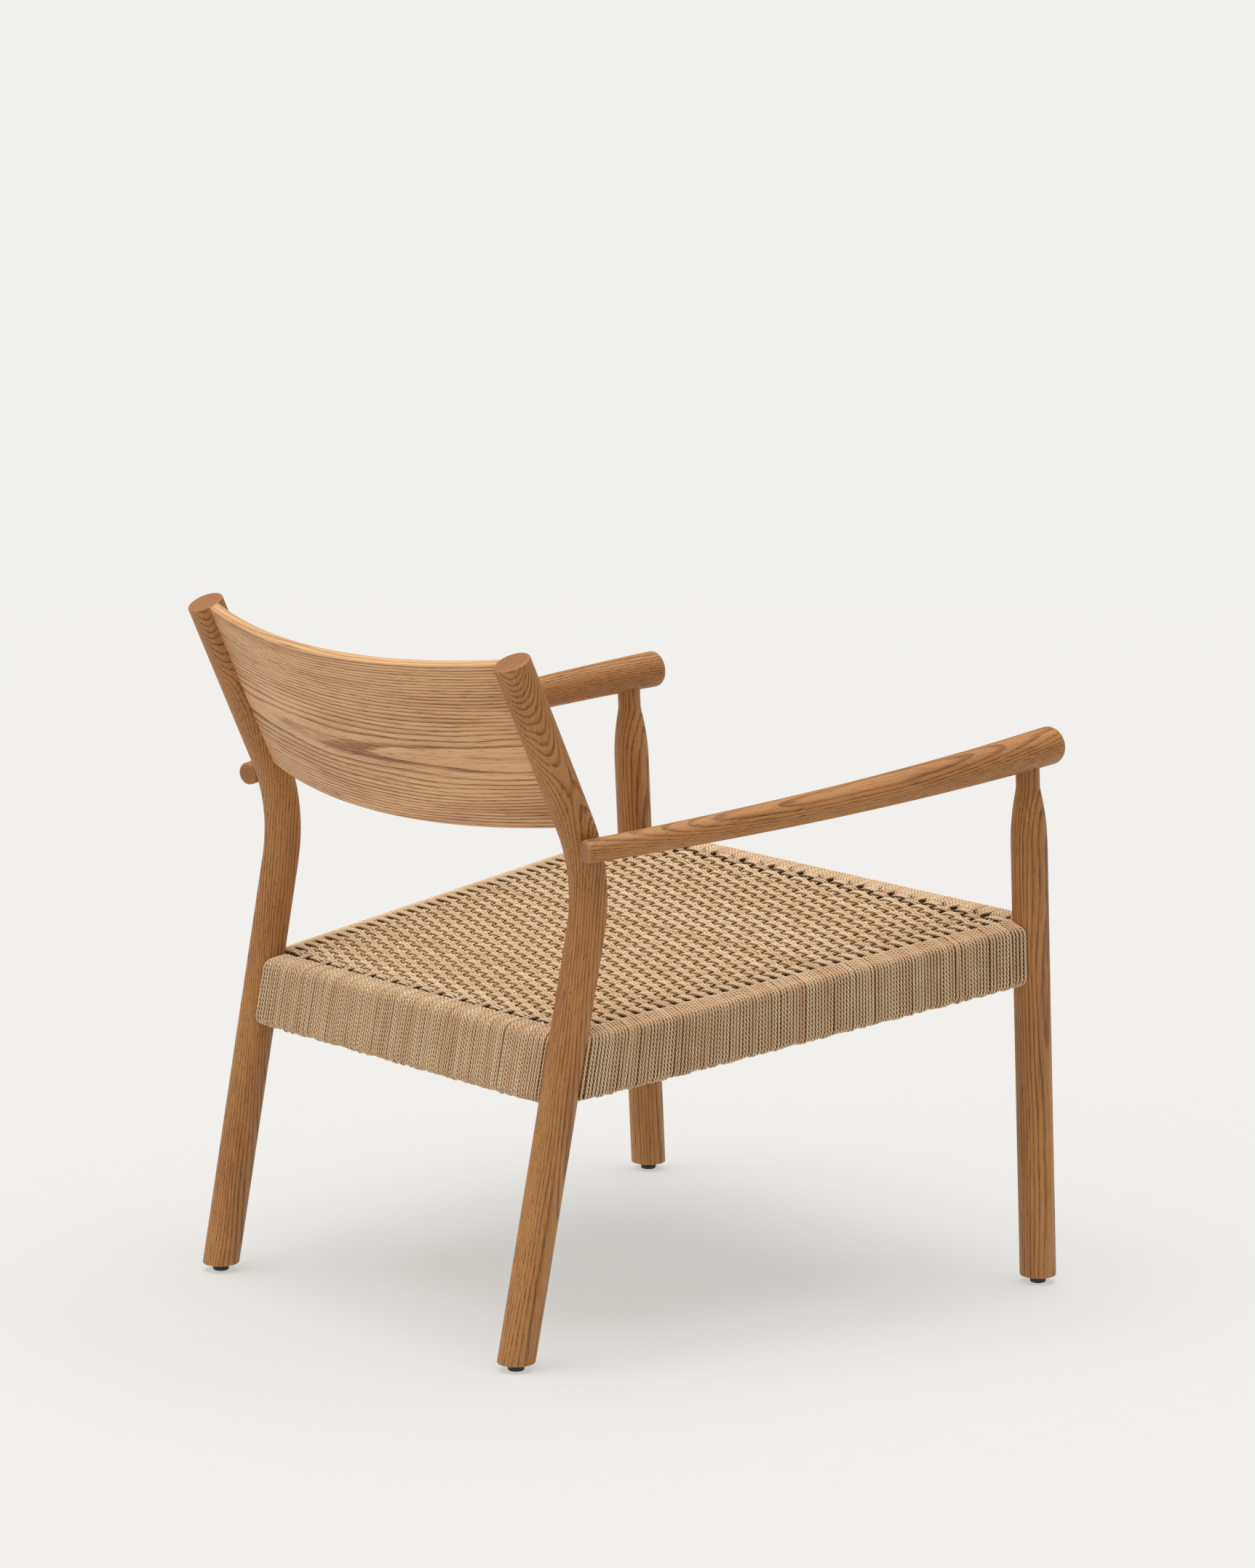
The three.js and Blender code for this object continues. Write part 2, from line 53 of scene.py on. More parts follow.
# Legs, as steps from the middle of the left leg's foot.
LEG_RADIUS = 0.020
REAR_KNEE = np.array([0.0047, -0.1014, 0.504])
REAR_TOP = np.array([0.0053, 0.0070, 0.7382])
KNEE_BEND = 0.064
LEG_RIM = 0.0018
FRONT_TOP = np.array([0.0034, 0.0278, 0.581])
NECK_RADIUS = 0.013
NECK_TAPER = 0.062
NECK_STRAIGHT = 0.027
FRONT_LEG_SHARE = 0.985  # the front leg stops inside the arm
FRONT_TOP_RIM = 0.001
LEVEL_FADE = 0.03  # length over which a leg's level foot turns square to the leg
KNEE_GRAIN = 0.22  # how far the rear leg's board turns towards its upper part

# Armrests, from the rear foot and the front foot.
ARM_REAR = np.array([0.0324, -0.0653, 0.5367])
ARM_FRONT = np.array([-0.0002, -0.0140, 0.5891])
ARM_BOW = 0.036
ARM_RADIUS_REAR = 0.0124
ARM_RADIUS_FRONT = 0.021
ARM_RIM_REAR = 0.003
ARM_RIM_FRONT = 0.008

# Backrest: a bent panel between the rear legs.
BACK_THICKNESS = 0.0125
BACK_HALF_CHORD = 0.262
BACK_SAGITTA = 0.043
BACK_HEIGHT = 0.198
BACK_TOP_DROP = 0.0008
BACK_SHIFT = -0.0014
BACK_EDGE = 0.0028

# Seat: a sloping plane with its own axes x, u (rearwards) and w (up from the cord's top).
# The corners are where the rails' middle lines meet, as (x, u).
SEAT_TILT = math.radians(6.15)
SEAT_FROM_FRONT_FOOT = 0.3358
SEAT_HEIGHT = 0.377
REAR_CORNER = np.array([0.2689, 0.2759])
FRONT_CORNER = np.array([0.3414, -0.3157])
REAR_LEG_LEAN = 0.318
FRONT_LEG_LEAN = 0.06
LEAN_FADE = 0.16  # along a side rail the strands lean with the rear leg, less over this length

# Cord: three plies, so its rings have six sides, alternately a ridge and a valley.
CORD = 0.00395
CORD_LAY = 0.0145  # length in which the plies turn once
CORD_SIDES = 6
VALLEY_RADIUS = 0.70
RIDGE_RISE = 0.33

# The cord's way round a rail, for the strand's middle. n is outwards from the rail's middle.
RAIL_HALF = 0.0135
RAIL_TOP = -0.002
RAIL_BOTTOM = -0.070
RAIL_MIDDLE = (RAIL_TOP + RAIL_BOTTOM) / 2
RAIL_ROUND_TOP = 0.0085
RAIL_ROUND = 0.008
RAIL_ROUND_INNER = 0.0045
SIDE_RAIL_DROP = 0.0032
LANDING = -0.0075  # n where a strand leaves the rail for the field
NAIL_HEIGHT = -0.046
LEG_GAP = 0.0222  # from a leg's middle to the nearest strand
HUG_REACH = 0.016  # how far from a leg the strands still follow its round
HUG_WIDTH = 0.95  # the part of the leg's radius that they follow
WRAP_STEP_EASE = 1.3

# How unlike the strands on a rail are.
GAP_SPREAD = 0.035
OPENING = (0.1, 0.3)  # a small opening's width, in strands
OPENING_EVERY = (7, 17)  # strands from one opening to the next
LEAN_SPREAD = 0.006
SLACK = 0.0006
SLACK_WAVE = 0.0008
SLACK_RATE = 310
SLACK_SHIFT = 2.1
SLACK_SHIFT_RATE = 97
SLACK_SPREAD = (-0.0004, 0.0006)
SLACK_FADE = 0.03  # no slack at the legs, all of it this far away
SAG_HEIGHT = 0.012

# Weave.
WARPS = 25
WEFTS = 69
REAR_SLOTS = 5  # strands on the rear rail from one warp pair to the next
FRONT_SLOTS = (5, 4)  # plain strands on the front rail after even and odd warp pairs
WARP_STEPS = 520
WEFT_STEPS = 480
WEFT_LIFT = 0.0026
WARP_LIFT = 0.0010
WEAVE_MIDDLE = -0.0040
EDGE_DIVE = 0.0034  # the outermost strands go over and under by this much more
WEFT_EDGE = (0.5, -0.15)  # reach in warps, and the share of the dive on the upper side
WARP_EDGE = (0.8, 0.45)  # reach in wefts, and the share of the dive on the upper side
STILL_ON_RAIL = 0.003
SETTLE = 0.008  # length from the rail's height to the field's
SETTLE_OVER = 0.012
PAIR_PULL = 0.03
WOBBLE = 0.0002
WOBBLE_RATE = 61
WOBBLE_STEP = 1.7
# How far the wefts are beaten up towards a rail, and over how many pairs that dies away.
REAR_BOW = (0.0072, 6.0)
REAR_BOW_FIRST = (0.0034, 0.6)  # what the first pairs keep back from it
FRONT_BOW = (0.0038, 4.0)
REAR_BOW_HALF = 0.235
FRONT_BOW_HALF = 0.31
BOW_EASE = 0.06

# Painted shade low between the strands and on their flanks.
RECESS_TOP = -0.0028
RECESS_TOP_BY_RAIL = -0.0004
RECESS_DEPTH = 0.0030
RECESS_EDGE = 0.003
BY_END_RAIL = (0.025, 0.010)  # where the tone by the rail begins, and the length of its change
BY_SIDE_RAIL = (0.016, 0.011)
FLANK_START = 0.62
FLANK_TOP = -0.004
FLANK_DEPTH = 0.008
FACE_POWER = 5
FACE_LIMIT = 1.2
OVER_RAIL = 1.15  # times half a rail
UNDER_FIELD = -0.012

# Seeds of the random draws.
SEEDS = {"side_rail": 3, "rear_rail": 5, "front_rail": 6, "cord": 7}
SEEDS.update(rear_leg=11, front_leg=31, arm=51, left_wefts=100, right_wefts=900)
SEEDS.update(warps=2000, warps_front=2100, rear_wraps=4000, front_wraps=5000)

rng = np.random.default_rng(SEEDS["cord"])


# ---------------------------------------------------------------- meshes


def mesh_object(name, verts, faces, attributes):
    """A smooth mesh from arrays. faces holds rows of three or four vertex numbers."""
    mesh = bpy.data.meshes.new(name)
    loops = np.concatenate([np.asarray(f).ravel() for f in faces])
    sizes = np.concatenate([np.full(len(f), np.asarray(f).shape[1]) for f in faces])
    starts = np.concatenate([[0], np.cumsum(sizes)[:-1]])
    mesh.vertices.add(len(verts))
    mesh.vertices.foreach_set("co", np.asarray(verts, dtype=np.float32).ravel())
    mesh.loops.add(len(loops))
    mesh.loops.foreach_set("vertex_index", loops.astype(np.int32))
    mesh.polygons.add(len(sizes))
    mesh.polygons.foreach_set("loop_start", starts.astype(np.int32))
    mesh.update(calc_edges=True)
    mesh.polygons.foreach_set("use_smooth", np.ones(len(sizes), dtype=bool))
    for key, values in attributes.items():
        layer = mesh.attributes.new(key, "FLOAT_VECTOR", "POINT")
        layer.data.foreach_set("vector", np.asarray(values, dtype=np.float32).ravel())
    mesh.validate()
    made = bpy.data.objects.new(name, mesh)
    bpy.context.scene.collection.objects.link(made)
    return made


def finish_piece(piece, material, nodes=()):
    piece.data.materials.append(material)
    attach(piece, "root")
    if nodes:
        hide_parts(*nodes)
    return piece


def unit(v):
    v = np.asarray(v, dtype=float)
    return v / np.linalg.norm(v, axis=-1, keepdims=True)


def lengths_along(points):
    steps = np.linalg.norm(np.diff(points, axis=0), axis=1)
    return np.concatenate([[0], np.cumsum(steps)])


def resample(points, count):
    """count points evenly spaced along a polyline."""
    along = lengths_along(points)
    want = np.linspace(0, along[-1], count)
    return np.stack([np.interp(want, along, points[:, i]) for i in range(3)], axis=1)


def tangents(points):
    return unit(np.gradient(points, axis=0))


def bands(rings, sides):
    """Quads between neighbouring closed rings of the same number of vertices."""
    i, j = np.meshgrid(np.arange(rings - 1), np.arange(sides), indexing="ij")
    a = i * sides + j
    b = i * sides + (j + 1) % sides
    return np.stack([a, b, b + sides, a + sides], axis=-1).reshape(-1, 4)


def at_length(points, along, want):
    return np.stack([np.interp(want, along, points[:, i]) for i in range(3)], axis=1)


# Rings of a turned member: on each flat end as shares of the end's radius, then round its rim, with
# how much each ring of the rim gets a painted highlight and shows as end grain.
CAP_SHARES = np.array([0.04, 0.3, 0.6, 0.93])
RIM_HIGHLIGHT = np.array([0.4, 0.8, 1, 1, 0.6, 0.2])
RIM_CUT = np.array([1, 0.6, 0.2, 0, 0, 0])
RING_GUIDE = [0.0, -1.0, 0.15]
BOARD_GUIDE = [0.3, 1.0, 0.0]
BOARD_SPREAD = [0.01, 0.01, 2.0]


def rim_stations(rim):
    """(distance from the end, radius lost) round a rounded rim, from the flat end outwards."""
    turn = np.linspace(0, math.pi / 2, len(RIM_HIGHLIGHT))
    return rim * (1 - np.cos(turn)), rim * (1 - np.sin(turn))


def round_member(name, path, radius_at, rims, grain, sides=72, level_start=False, step=0.006):
    """A turned member along path, with rounded rims, flat ends and grain coordinates on its vertices.

    level_start cuts its first end level, as a leg stands on its glide.
    """
    along = lengths_along(path)
    total = along[-1]
    start_at, start_loss = rim_stations(rims[0])
    end_at, end_loss = rim_stations(rims[1])
    body = np.linspace(rims[0], total - rims[1], max(4, int(total / step)))[1:-1]
    want = np.concatenate([start_at, body, total - end_at[::-1]])
    loss = np.concatenate([start_loss, np.zeros(len(body)), end_loss[::-1]])
    radii = radius_at(want) - loss
    plain, flat = np.zeros(len(body)), len(CAP_SHARES)
    want = np.concatenate([np.zeros(flat), want, np.full(flat, total)])
    radii = np.concatenate([CAP_SHARES * radii[0], radii, CAP_SHARES[::-1] * radii[-1]])
    edge = np.concatenate([np.zeros(flat), RIM_HIGHLIGHT, plain, RIM_HIGHLIGHT[::-1], np.zeros(flat)])
    cut = np.concatenate([np.ones(flat), RIM_CUT, plain, RIM_CUT[::-1], np.ones(flat)])
    centres = at_length(path, along, want)
    forward = unit(at_length(tangents(path), along, want))
    across = unit(np.cross(forward, RING_GUIDE))
    other = np.cross(forward, across)
    turn = np.linspace(0, 2 * math.pi, sides, endpoint=False)
    ring = across[:, None] * np.cos(turn)[None, :, None] + other[:, None] * np.sin(turn)[None, :, None]
    verts = centres[:, None] + ring * radii[:, None, None]
    if level_start:
        fade = np.clip(1 - want / LEVEL_FADE, 0, 1)[:, None]
        drop = (centres[:, None, 2] - verts[:, :, 2]) / forward[:, None, 2] * fade
        verts = verts + forward[:, None] * drop[:, :, None]
    rings = len(want)
    verts = verts.reshape(-1, 3)
    first = np.arange(sides)[::-1][None]
    last = (np.arange(sides) + (rings - 1) * sides)[None]
    # finish holds the share of end grain and the share of the painted edge highlight.
    finish = np.stack([np.repeat(cut, sides), np.repeat(edge, sides), np.zeros(rings * sides)], axis=1)
    attributes = {"grain": grain(verts), "finish": finish}
    return mesh_object(name, verts, [bands(rings, sides), first, last], attributes)


def board_grain(origin, axis, seed):
    """Grain coordinates of a piece sawn from a straight board: two across the board, one along it."""
    axis = unit(axis)
    across = unit(np.cross(axis, BOARD_GUIDE))
    other = np.cross(axis, across)
    offset = np.random.default_rng(seed).uniform(-1, 1, 3) * BOARD_SPREAD

    def coordinates(verts):
        local = verts - origin
        return np.stack([local @ across, local @ other, local @ axis], axis=1) + offset

    return coordinates


# ---------------------------------------------------------------- shader nodes


class Shader:
    """A material whose nodes are added one call at a time."""

    def __init__(self, name):
        self.material = bpy.data.materials.new(name)
        self.material.use_nodes = True
        self.tree = self.material.node_tree
        self.surface = self.tree.nodes["Principled BSDF"]

    def add(self, kind, inputs=None, **settings):
        made = self.tree.nodes.new(kind)
        for key, value in settings.items():
            setattr(made, key, value)
        for key, value in (inputs or {}).items():
            self.plug(made.inputs[key], value)
        return made

    def plug(self, socket, value):
        if isinstance(value, bpy.types.NodeSocket):
            self.tree.links.new(value, socket)
        else:
            socket.default_value = value

    def maths(self, operation, a, b=0.0, c=0.0):
        return self.add("ShaderNodeMath", {0: a, 1: b, 2: c}, operation=operation).outputs[0]

    def smooth(self, value, low, high):
        made = self.add("ShaderNodeMapRange", {0: value, 1: low, 2: high}, interpolation_type="SMOOTHSTEP")
        return made.outputs[0]

    def noise(self, vector, scale, detail=2.0, rough=0.5, distort=0.0):
        inputs = {"Vector": vector, "Scale": scale, "Detail": detail}
        inputs.update(Roughness=rough, Distortion=distort)
        return self.add("ShaderNodeTexNoise", inputs).outputs[0]

    def scaled(self, vector, factors):
        return self.add("ShaderNodeVectorMath", {0: vector, 1: factors}, operation="MULTIPLY").outputs[0]

    def mix(self, factor, a, b, blend="MIX"):
        made = self.add("ShaderNodeMix", data_type="RGBA", blend_type=blend)
        for index, value in ((0, factor), (6, a), (7, b)):
            self.plug(made.inputs[index], value)
        return made.outputs[2]

    def bump(self, height, strength, distance):
        inputs = {"Height": height, "Strength": strength, "Distance": distance}
        return self.add("ShaderNodeBump", inputs).outputs[0]

    def finish(self, **sockets):
        for key, value in sockets.items():
            self.plug(self.surface.inputs[key.replace("_", " ")], value)
        return self.material


def rgb(red, green, blue):
    """A linear colour from sRGB values of 0 to 255."""
    out = []
    for value in (red, green, blue):
        value /= 255
        out.append(value / 12.92 if value <= 0.04045 else ((value + 0.055) / 1.055) ** 2.4)
    return (*out, 1.0)


OAK_PALE = rgb(187, 132, 74)
OAK_DARK = rgb(126, 75, 33)
PANEL_PALE = rgb(226, 180, 130)
PANEL_DARK = rgb(150, 92, 50)
END_GRAIN = rgb(150, 98, 62)
CORD_PALE = rgb(255, 231, 194)
CORD_DARK = rgb(226, 187, 142)
# Painted shade tones of the cord: first for the ply valleys and the flanks, then for low between the strands.
CORD_PAINTED_SHADE = rgb(112, 66, 34)
CORD_RECESS_SHADOW = rgb(58, 38, 12)

# Noise scales in the wood: two across the grain, one along it.
WANDER_SCALE = (14.0, 14.0, 2.6)
RIPPLE_SCALE = (60.0, 60.0, 9.0)
PATCH_SCALE = (24.0, 24.0, 5.0)
STREAK_SCALE = (420.0, 420.0, 7.0)
PORE_SCALE = (1500.0, 1500.0, 42.0)
FIBRE_SCALE = (2400.0, 2400.0, 60.0)
RIPPLE = 0.0016  # how far the growth rings waver
EARLY_END = (0.04, 0.5)  # where the pale-to-dark change lies, as shares of a year
EARLY_START = (0.93, 1.0)
PORE_RANGE = (0.6, 0.72)
PORE_IN_EARLY = 0.1
# Each layer's weight in the wood's tone, and the offset that centres it.
STREAK_TONE = (1.3, -0.62)
PATCH_TONE = (1.0, -0.5)
FIBRE_TONE = (0.5, -0.25)
OAK_RANGE = (-0.25, 0.95)
PORE_SHADE = 0.36
PORE_MIX = 0.7
END_GRAIN_MIX = 0.55
# Painted highlight along the rounded edges.
EDGE_HIGHLIGHT_MIX = 0.35
EDGE_HIGHLIGHT = 1.1

# The same for the cord.
MOTTLE_SCALE = 45.0
FLECK_SCALE = 900.0
CREASE_TURNS = 75.4
CREASE_RATE = 1900.0
STRAND_TONE = 0.3
MOTTLE_TONE = (0.5, 0.1)
FLECK_TONE = (0.9, -0.5)
CORD_RANGE = (0.1, 0.85)
# Painted shade: in the ply valleys, low between the strands and on the flanks.
VALLEY_SHADE_TOP = 0.75
VALLEY_SHADE_MIX = 0.66
RECESS_SHADE_MIX = 0.94
FLANK_SHADE_MIX = 0.8


def toned(colour, factor):
    """A colour made darker or lighter, still opaque."""
    return tuple(factor * c for c in colour[:3]) + (1.0,)


def oak(name, pale, dark, pith, ring=0.0030, ring_depth=0.5, drift=0.016, on_frame=False):
    """Oiled oak: growth rings round a pith line, streaks, long open pores and darker end grain.

    The vertices' "finish" attribute holds the shares of end grain and of a painted highlight on the rounded
    edges.
    """
    s = Shader(name)
    if on_frame:
        grain = s.add("ShaderNodeTexCoord").outputs["Object"]
    else:
        grain = s.add("ShaderNodeAttribute", attribute_name="grain").outputs["Vector"]
    parts = s.add("ShaderNodeSeparateXYZ", {0: grain})

    def layer(scale, detail=3.0, rough=0.6):
        return s.noise(s.scaled(grain, scale), 1.0, detail, rough)

    wander = layer(WANDER_SCALE, 2.0, 0.5)
    ripple = layer(RIPPLE_SCALE, 2.0, 0.5)
    a = s.maths("ADD", parts.outputs[0], pith[0])
    b = s.maths("ADD", parts.outputs[1], pith[1])
    reach = s.maths("SQRT", s.maths("ADD", s.maths("MULTIPLY", a, a), s.maths("MULTIPLY", b, b)))
    reach = s.maths("ADD", reach, s.maths("MULTIPLY", wander, drift))
    reach = s.maths("ADD", reach, s.maths("MULTIPLY", ripple, RIPPLE))
    year = s.maths("FRACT", s.maths("DIVIDE", reach, ring))
    early = s.maths("SUBTRACT", 1.0, s.smooth(year, *EARLY_END))
    early = s.maths("MAXIMUM", early, s.smooth(year, *EARLY_START))
    fibre = layer(FIBRE_SCALE)
    streak = layer(STREAK_SCALE)
    pore_noise = layer(PORE_SCALE, 2.0, 0.5)
    pore = s.smooth(s.maths("ADD", pore_noise, s.maths("MULTIPLY", early, PORE_IN_EARLY)), *PORE_RANGE)
    patch = layer(PATCH_SCALE, 2.0, 0.5)
    shade = s.maths("MULTIPLY", early, ring_depth)
    for noise, (weight, offset) in ((streak, STREAK_TONE), (patch, PATCH_TONE), (fibre, FIBRE_TONE)):
        shade = s.maths("ADD", shade, s.maths("MULTIPLY_ADD", noise, weight, offset))
    colour = s.mix(s.smooth(shade, *OAK_RANGE), pale, dark)
    colour = s.mix(s.maths("MULTIPLY", pore, PORE_MIX), colour, toned(dark, PORE_SHADE))
    finish = s.add("ShaderNodeAttribute", attribute_name="finish").outputs["Vector"]
    end_grain, edge, _ = s.add("ShaderNodeSeparateXYZ", {0: finish}).outputs
    colour = s.mix(s.maths("MULTIPLY", end_grain, END_GRAIN_MIX), colour, END_GRAIN)
    # Painted highlight on the rounded edges, where the surface is also a little smoother.
    colour = s.mix(s.maths("MULTIPLY", edge, EDGE_HIGHLIGHT_MIX), colour, toned(pale, EDGE_HIGHLIGHT))
    rough = s.maths("MULTIPLY_ADD", pore, 0.25, s.maths("MULTIPLY_ADD", fibre, 0.16, 0.4))
    rough = s.maths("SUBTRACT", rough, s.maths("MULTIPLY", edge, 0.06))
    height = s.maths("SUBTRACT", s.maths("MULTIPLY", fibre, 0.3), pore)
    height = s.maths("SUBTRACT", height, s.maths("MULTIPLY", early, 0.25))
    normal = s.bump(height, 0.35, 0.00025)
    return s.finish(Base_Color=colour, Roughness=rough, Normal=normal, Specular_IOR_Level=0.4)


def paper_cord(name):
    """Twisted waxed paper: three plies with fine creases along them, each strand of its own tone.

    The vertices' "lay" attribute holds the angle, the length and the ridge, and "strand" holds the
    strand's tone and the painted shade for how low the vertex lies and for its flanks. The ply valleys are
    painted darker as shade too.
    """
    s = Shader(name)
    lay = s.add("ShaderNodeAttribute", attribute_name="lay").outputs["Vector"]
    angle, along, ridge = s.add("ShaderNodeSeparateXYZ", {0: lay}).outputs
    strand = s.add("ShaderNodeAttribute", attribute_name="strand").outputs["Vector"]
    own_tone, low, flank = s.add("ShaderNodeSeparateXYZ", {0: strand}).outputs
    place = s.add("ShaderNodeTexCoord").outputs["Object"]
    mottle = s.noise(place, MOTTLE_SCALE, 3.0, 0.55)
    fleck = s.noise(place, FLECK_SCALE, 3.0, 0.6)
    turns = s.maths("MULTIPLY", angle, CREASE_TURNS)
    crease = s.maths("SINE", s.maths("ADD", turns, s.maths("MULTIPLY", along, CREASE_RATE)))
    tone = s.maths("MULTIPLY_ADD", own_tone, STRAND_TONE, s.maths("MULTIPLY_ADD", mottle, *MOTTLE_TONE))
    tone = s.maths("ADD", tone, s.maths("MULTIPLY_ADD", fleck, *FLECK_TONE))
    colour = s.mix(s.smooth(tone, *CORD_RANGE), CORD_DARK, CORD_PALE)
    # Painted shade in the valleys between the plies.
    valley = s.maths("SUBTRACT", 1.0, s.smooth(ridge, 0.0, VALLEY_SHADE_TOP))
    colour = s.mix(s.maths("MULTIPLY", valley, VALLEY_SHADE_MIX), colour, CORD_PAINTED_SHADE)
    # Painted shade low down between the strands.
    colour = s.mix(s.maths("MULTIPLY", low, RECESS_SHADE_MIX), colour, CORD_RECESS_SHADOW)
    # Painted shade on the flanks.
    colour = s.mix(s.maths("MULTIPLY", flank, FLANK_SHADE_MIX), colour, CORD_PAINTED_SHADE)
    height = s.maths("ADD", s.maths("MULTIPLY", crease, 0.3), fleck)
    normal = s.bump(height, 0.3, 0.0003)
    rough = s.maths("MULTIPLY_ADD", fleck, 0.2, 0.55)
    return s.finish(Base_Color=colour, Roughness=rough, Normal=normal, Specular_IOR_Level=0.3)


def black_plastic(name):
    s = Shader(name)
    place = s.add("ShaderNodeTexCoord").outputs["Object"]
    grit = s.noise(place, 2500.0, 2.0)
    scuff = s.noise(s.scaled(place, (90.0, 90.0, 400.0)), 1.0, 3.0)
    colour = s.mix(s.smooth(scuff, 0.45, 0.8), rgb(34, 33, 32), rgb(62, 60, 58))
    rough = s.maths("MULTIPLY_ADD", scuff, 0.3, 0.35)
    return s.finish(Base_Color=colour, Roughness=rough, Normal=s.bump(grit, 0.2, 0.0001))


# ---------------------------------------------------------------- frame pieces


def mirrored(points, side):
    return np.asarray(points, dtype=float) * [side, 1, 1]


def bezier(points, count):
    t = np.linspace(0, 1, count)[:, None]
    rows = [np.asarray(p, dtype=float)[None] for p in points]
    while len(rows) > 1:
        rows = [a * (1 - t) + b * t for a, b in zip(rows, rows[1:])]
    return rows[0]


def straight(a, b, count):
    return a + (b - a) * np.linspace(0, 1, count)[:, None]


def rear_leg_path():
    foot = FEET["rear"]
    knee, top = foot + REAR_KNEE, foot + REAR_TOP
    before = knee - unit(knee - foot) * KNEE_BEND
    after = knee + unit(top - knee) * KNEE_BEND
    bend = bezier([before, knee, after], 60)
    return np.concatenate([straight(foot, before, 40)[:-1], bend[:-1], straight(after, top, 20)])


def build_rear_leg(side_name, side, material):
    path = mirrored(rear_leg_path(), side)
    axis = unit(mirrored(REAR_KNEE, side)) + KNEE_GRAIN * unit(mirrored(REAR_TOP - REAR_KNEE, side))
    grain = board_grain(path[0], axis, SEEDS["rear_leg"] + side)
    rims = (LEG_RIM, LEG_RIM)
    name = f"rear_post_{side_name}"
    piece = round_member(name, path, lambda s: np.full_like(s, LEG_RADIUS), rims, grain, level_start=True)
    return finish_piece(piece, material, [f"rear_leg_{side_name}"])


def front_leg_radius(total):
    def radius(s):
        from_top = np.clip((total - NECK_STRAIGHT - s) / NECK_TAPER, 0, 1)
        return LEG_RADIUS - (LEG_RADIUS - NECK_RADIUS) * (1 - from_top) ** 2

    return radius


def build_front_leg(side_name, side, material):
    foot = mirrored(FEET["front"], side)
    top = foot + mirrored(FRONT_TOP, side) * FRONT_LEG_SHARE
    path = straight(foot, top, 60)
    total = np.linalg.norm(top - foot)
    grain = board_grain(foot, top - foot, SEEDS["front_leg"] + side)
    rims = (LEG_RIM, FRONT_TOP_RIM)
    name = f"front_post_{side_name}"
    piece = round_member(name, path, front_leg_radius(total), rims, grain, level_start=True)
    return finish_piece(piece, material, [f"front_leg_{side_name}"])


def arm_path(side):
    rear = FEET["rear"] + ARM_REAR
    front = FEET["front"] + ARM_FRONT
    bow = np.array([ARM_BOW, 0, 0])
    inner = [rear + (front - rear) / 3 + bow, rear + (front - rear) * 2 / 3 + bow]
    return mirrored(bezier([rear, *inner, front], 160), side)


def build_arm(side_name, side, material):
    path = arm_path(side)
    total = lengths_along(path)[-1]
    grain = board_grain(path[0], path[-1] - path[0], SEEDS["arm"] + side)
    piece = round_member(
        f"arm_{side_name}",
        path,
        lambda s: ARM_RADIUS_REAR + (ARM_RADIUS_FRONT - ARM_RADIUS_REAR) * s / total,
        (ARM_RIM_REAR, ARM_RIM_FRONT),
        grain,
    )
    return finish_piece(piece, material, [f"armrest_{side_name}"])


def panel_section():
    """Closed outline of the panel's cross-section as (out of the face, up), finer at its rounded edges."""
    half = BACK_THICKNESS / 2
    points = []
    side, low, high = half - BACK_EDGE, BACK_EDGE, BACK_HEIGHT - BACK_EDGE
    rise = np.linspace(low, high, 26)[1:-1]
    for centre, start in (((side, high), 0), ((-side, high), 90), ((-side, low), 180), ((side, low), 270)):
        for step in range(7):
            turn = math.radians(start + 15 * step)
            points.append((centre[0] + BACK_EDGE * math.cos(turn), centre[1] + BACK_EDGE * math.sin(turn)))
        if start == 90:
            points += [(-half, float(up)) for up in rise[::-1]]
        if start == 270:
            points += [(half, float(up)) for up in rise]
    return np.array(points)


def build_backrest(material):
    upward = REAR_TOP - REAR_KNEE
    up = unit([0, upward[1], upward[2]])
    rear = np.array([0, up[2], -up[1]])
    top = FEET["rear"] + REAR_TOP
    origin = np.array([0, top[1], top[2]]) - up * (BACK_HEIGHT + BACK_TOP_DROP)
    radius = (BACK_HALF_CHORD**2 + BACK_SAGITTA**2) / (2 * BACK_SAGITTA)
    reach = math.asin(BACK_HALF_CHORD / radius)
    angles = np.linspace(-reach, reach, 150)
    outline = panel_section()
    centre_back = BACK_SAGITTA + BACK_SHIFT - radius
    out, rise = outline[:, 0], outline[:, 1]
    x = (radius + out)[None] * np.sin(angles)[:, None]
    back = centre_back + (radius + out)[None] * np.cos(angles)[:, None]
    verts = origin + x[..., None] * np.array([1.0, 0, 0])
    verts = verts + back[..., None] * rear + rise[None, :, None] * up
    sides, rings = len(outline), len(angles)
    along = (angles * radius)[:, None] * np.ones(sides)[None]
    grain = np.stack([np.tile(out, rings), np.tile(rise, rings), along.ravel()], axis=1)
    # Painted highlight along the panel's rounded top and bottom edges.
    edge_gap = np.minimum(rise, BACK_HEIGHT - rise)
    edge = np.tile(np.clip(1 - edge_gap / BACK_EDGE, 0, 1), rings)
    finish = np.stack([np.zeros_like(edge), edge, np.zeros_like(edge)], axis=1)
    caps = [np.arange(sides)[None], (np.arange(sides)[::-1] + (rings - 1) * sides)[None]]
    quads = bands(rings, sides)[:, ::-1]
    attributes = {"grain": grain, "finish": finish}
    piece = mesh_object("backrest", verts.reshape(-1, 3), [quads, *caps], attributes)
    return finish_piece(piece, material, ["backrest_panel"])


GLIDE_SIDES = 48
GLIDE_PROFILE = (  # (share of the radius, height)
    (0.01, 0.0),
    (0.55, 0.0),
    (0.8, 0.0001),
    (0.93, 0.0006),
    (0.985, 0.0014),
    (1.0, 0.0024),
    (1.0, 0.0062),
    (0.985, 0.0068),
    (0.95, 0.0071),
    (0.9, 0.0072),
    (0.5, 0.0072),
    (0.01, 0.0078),
)


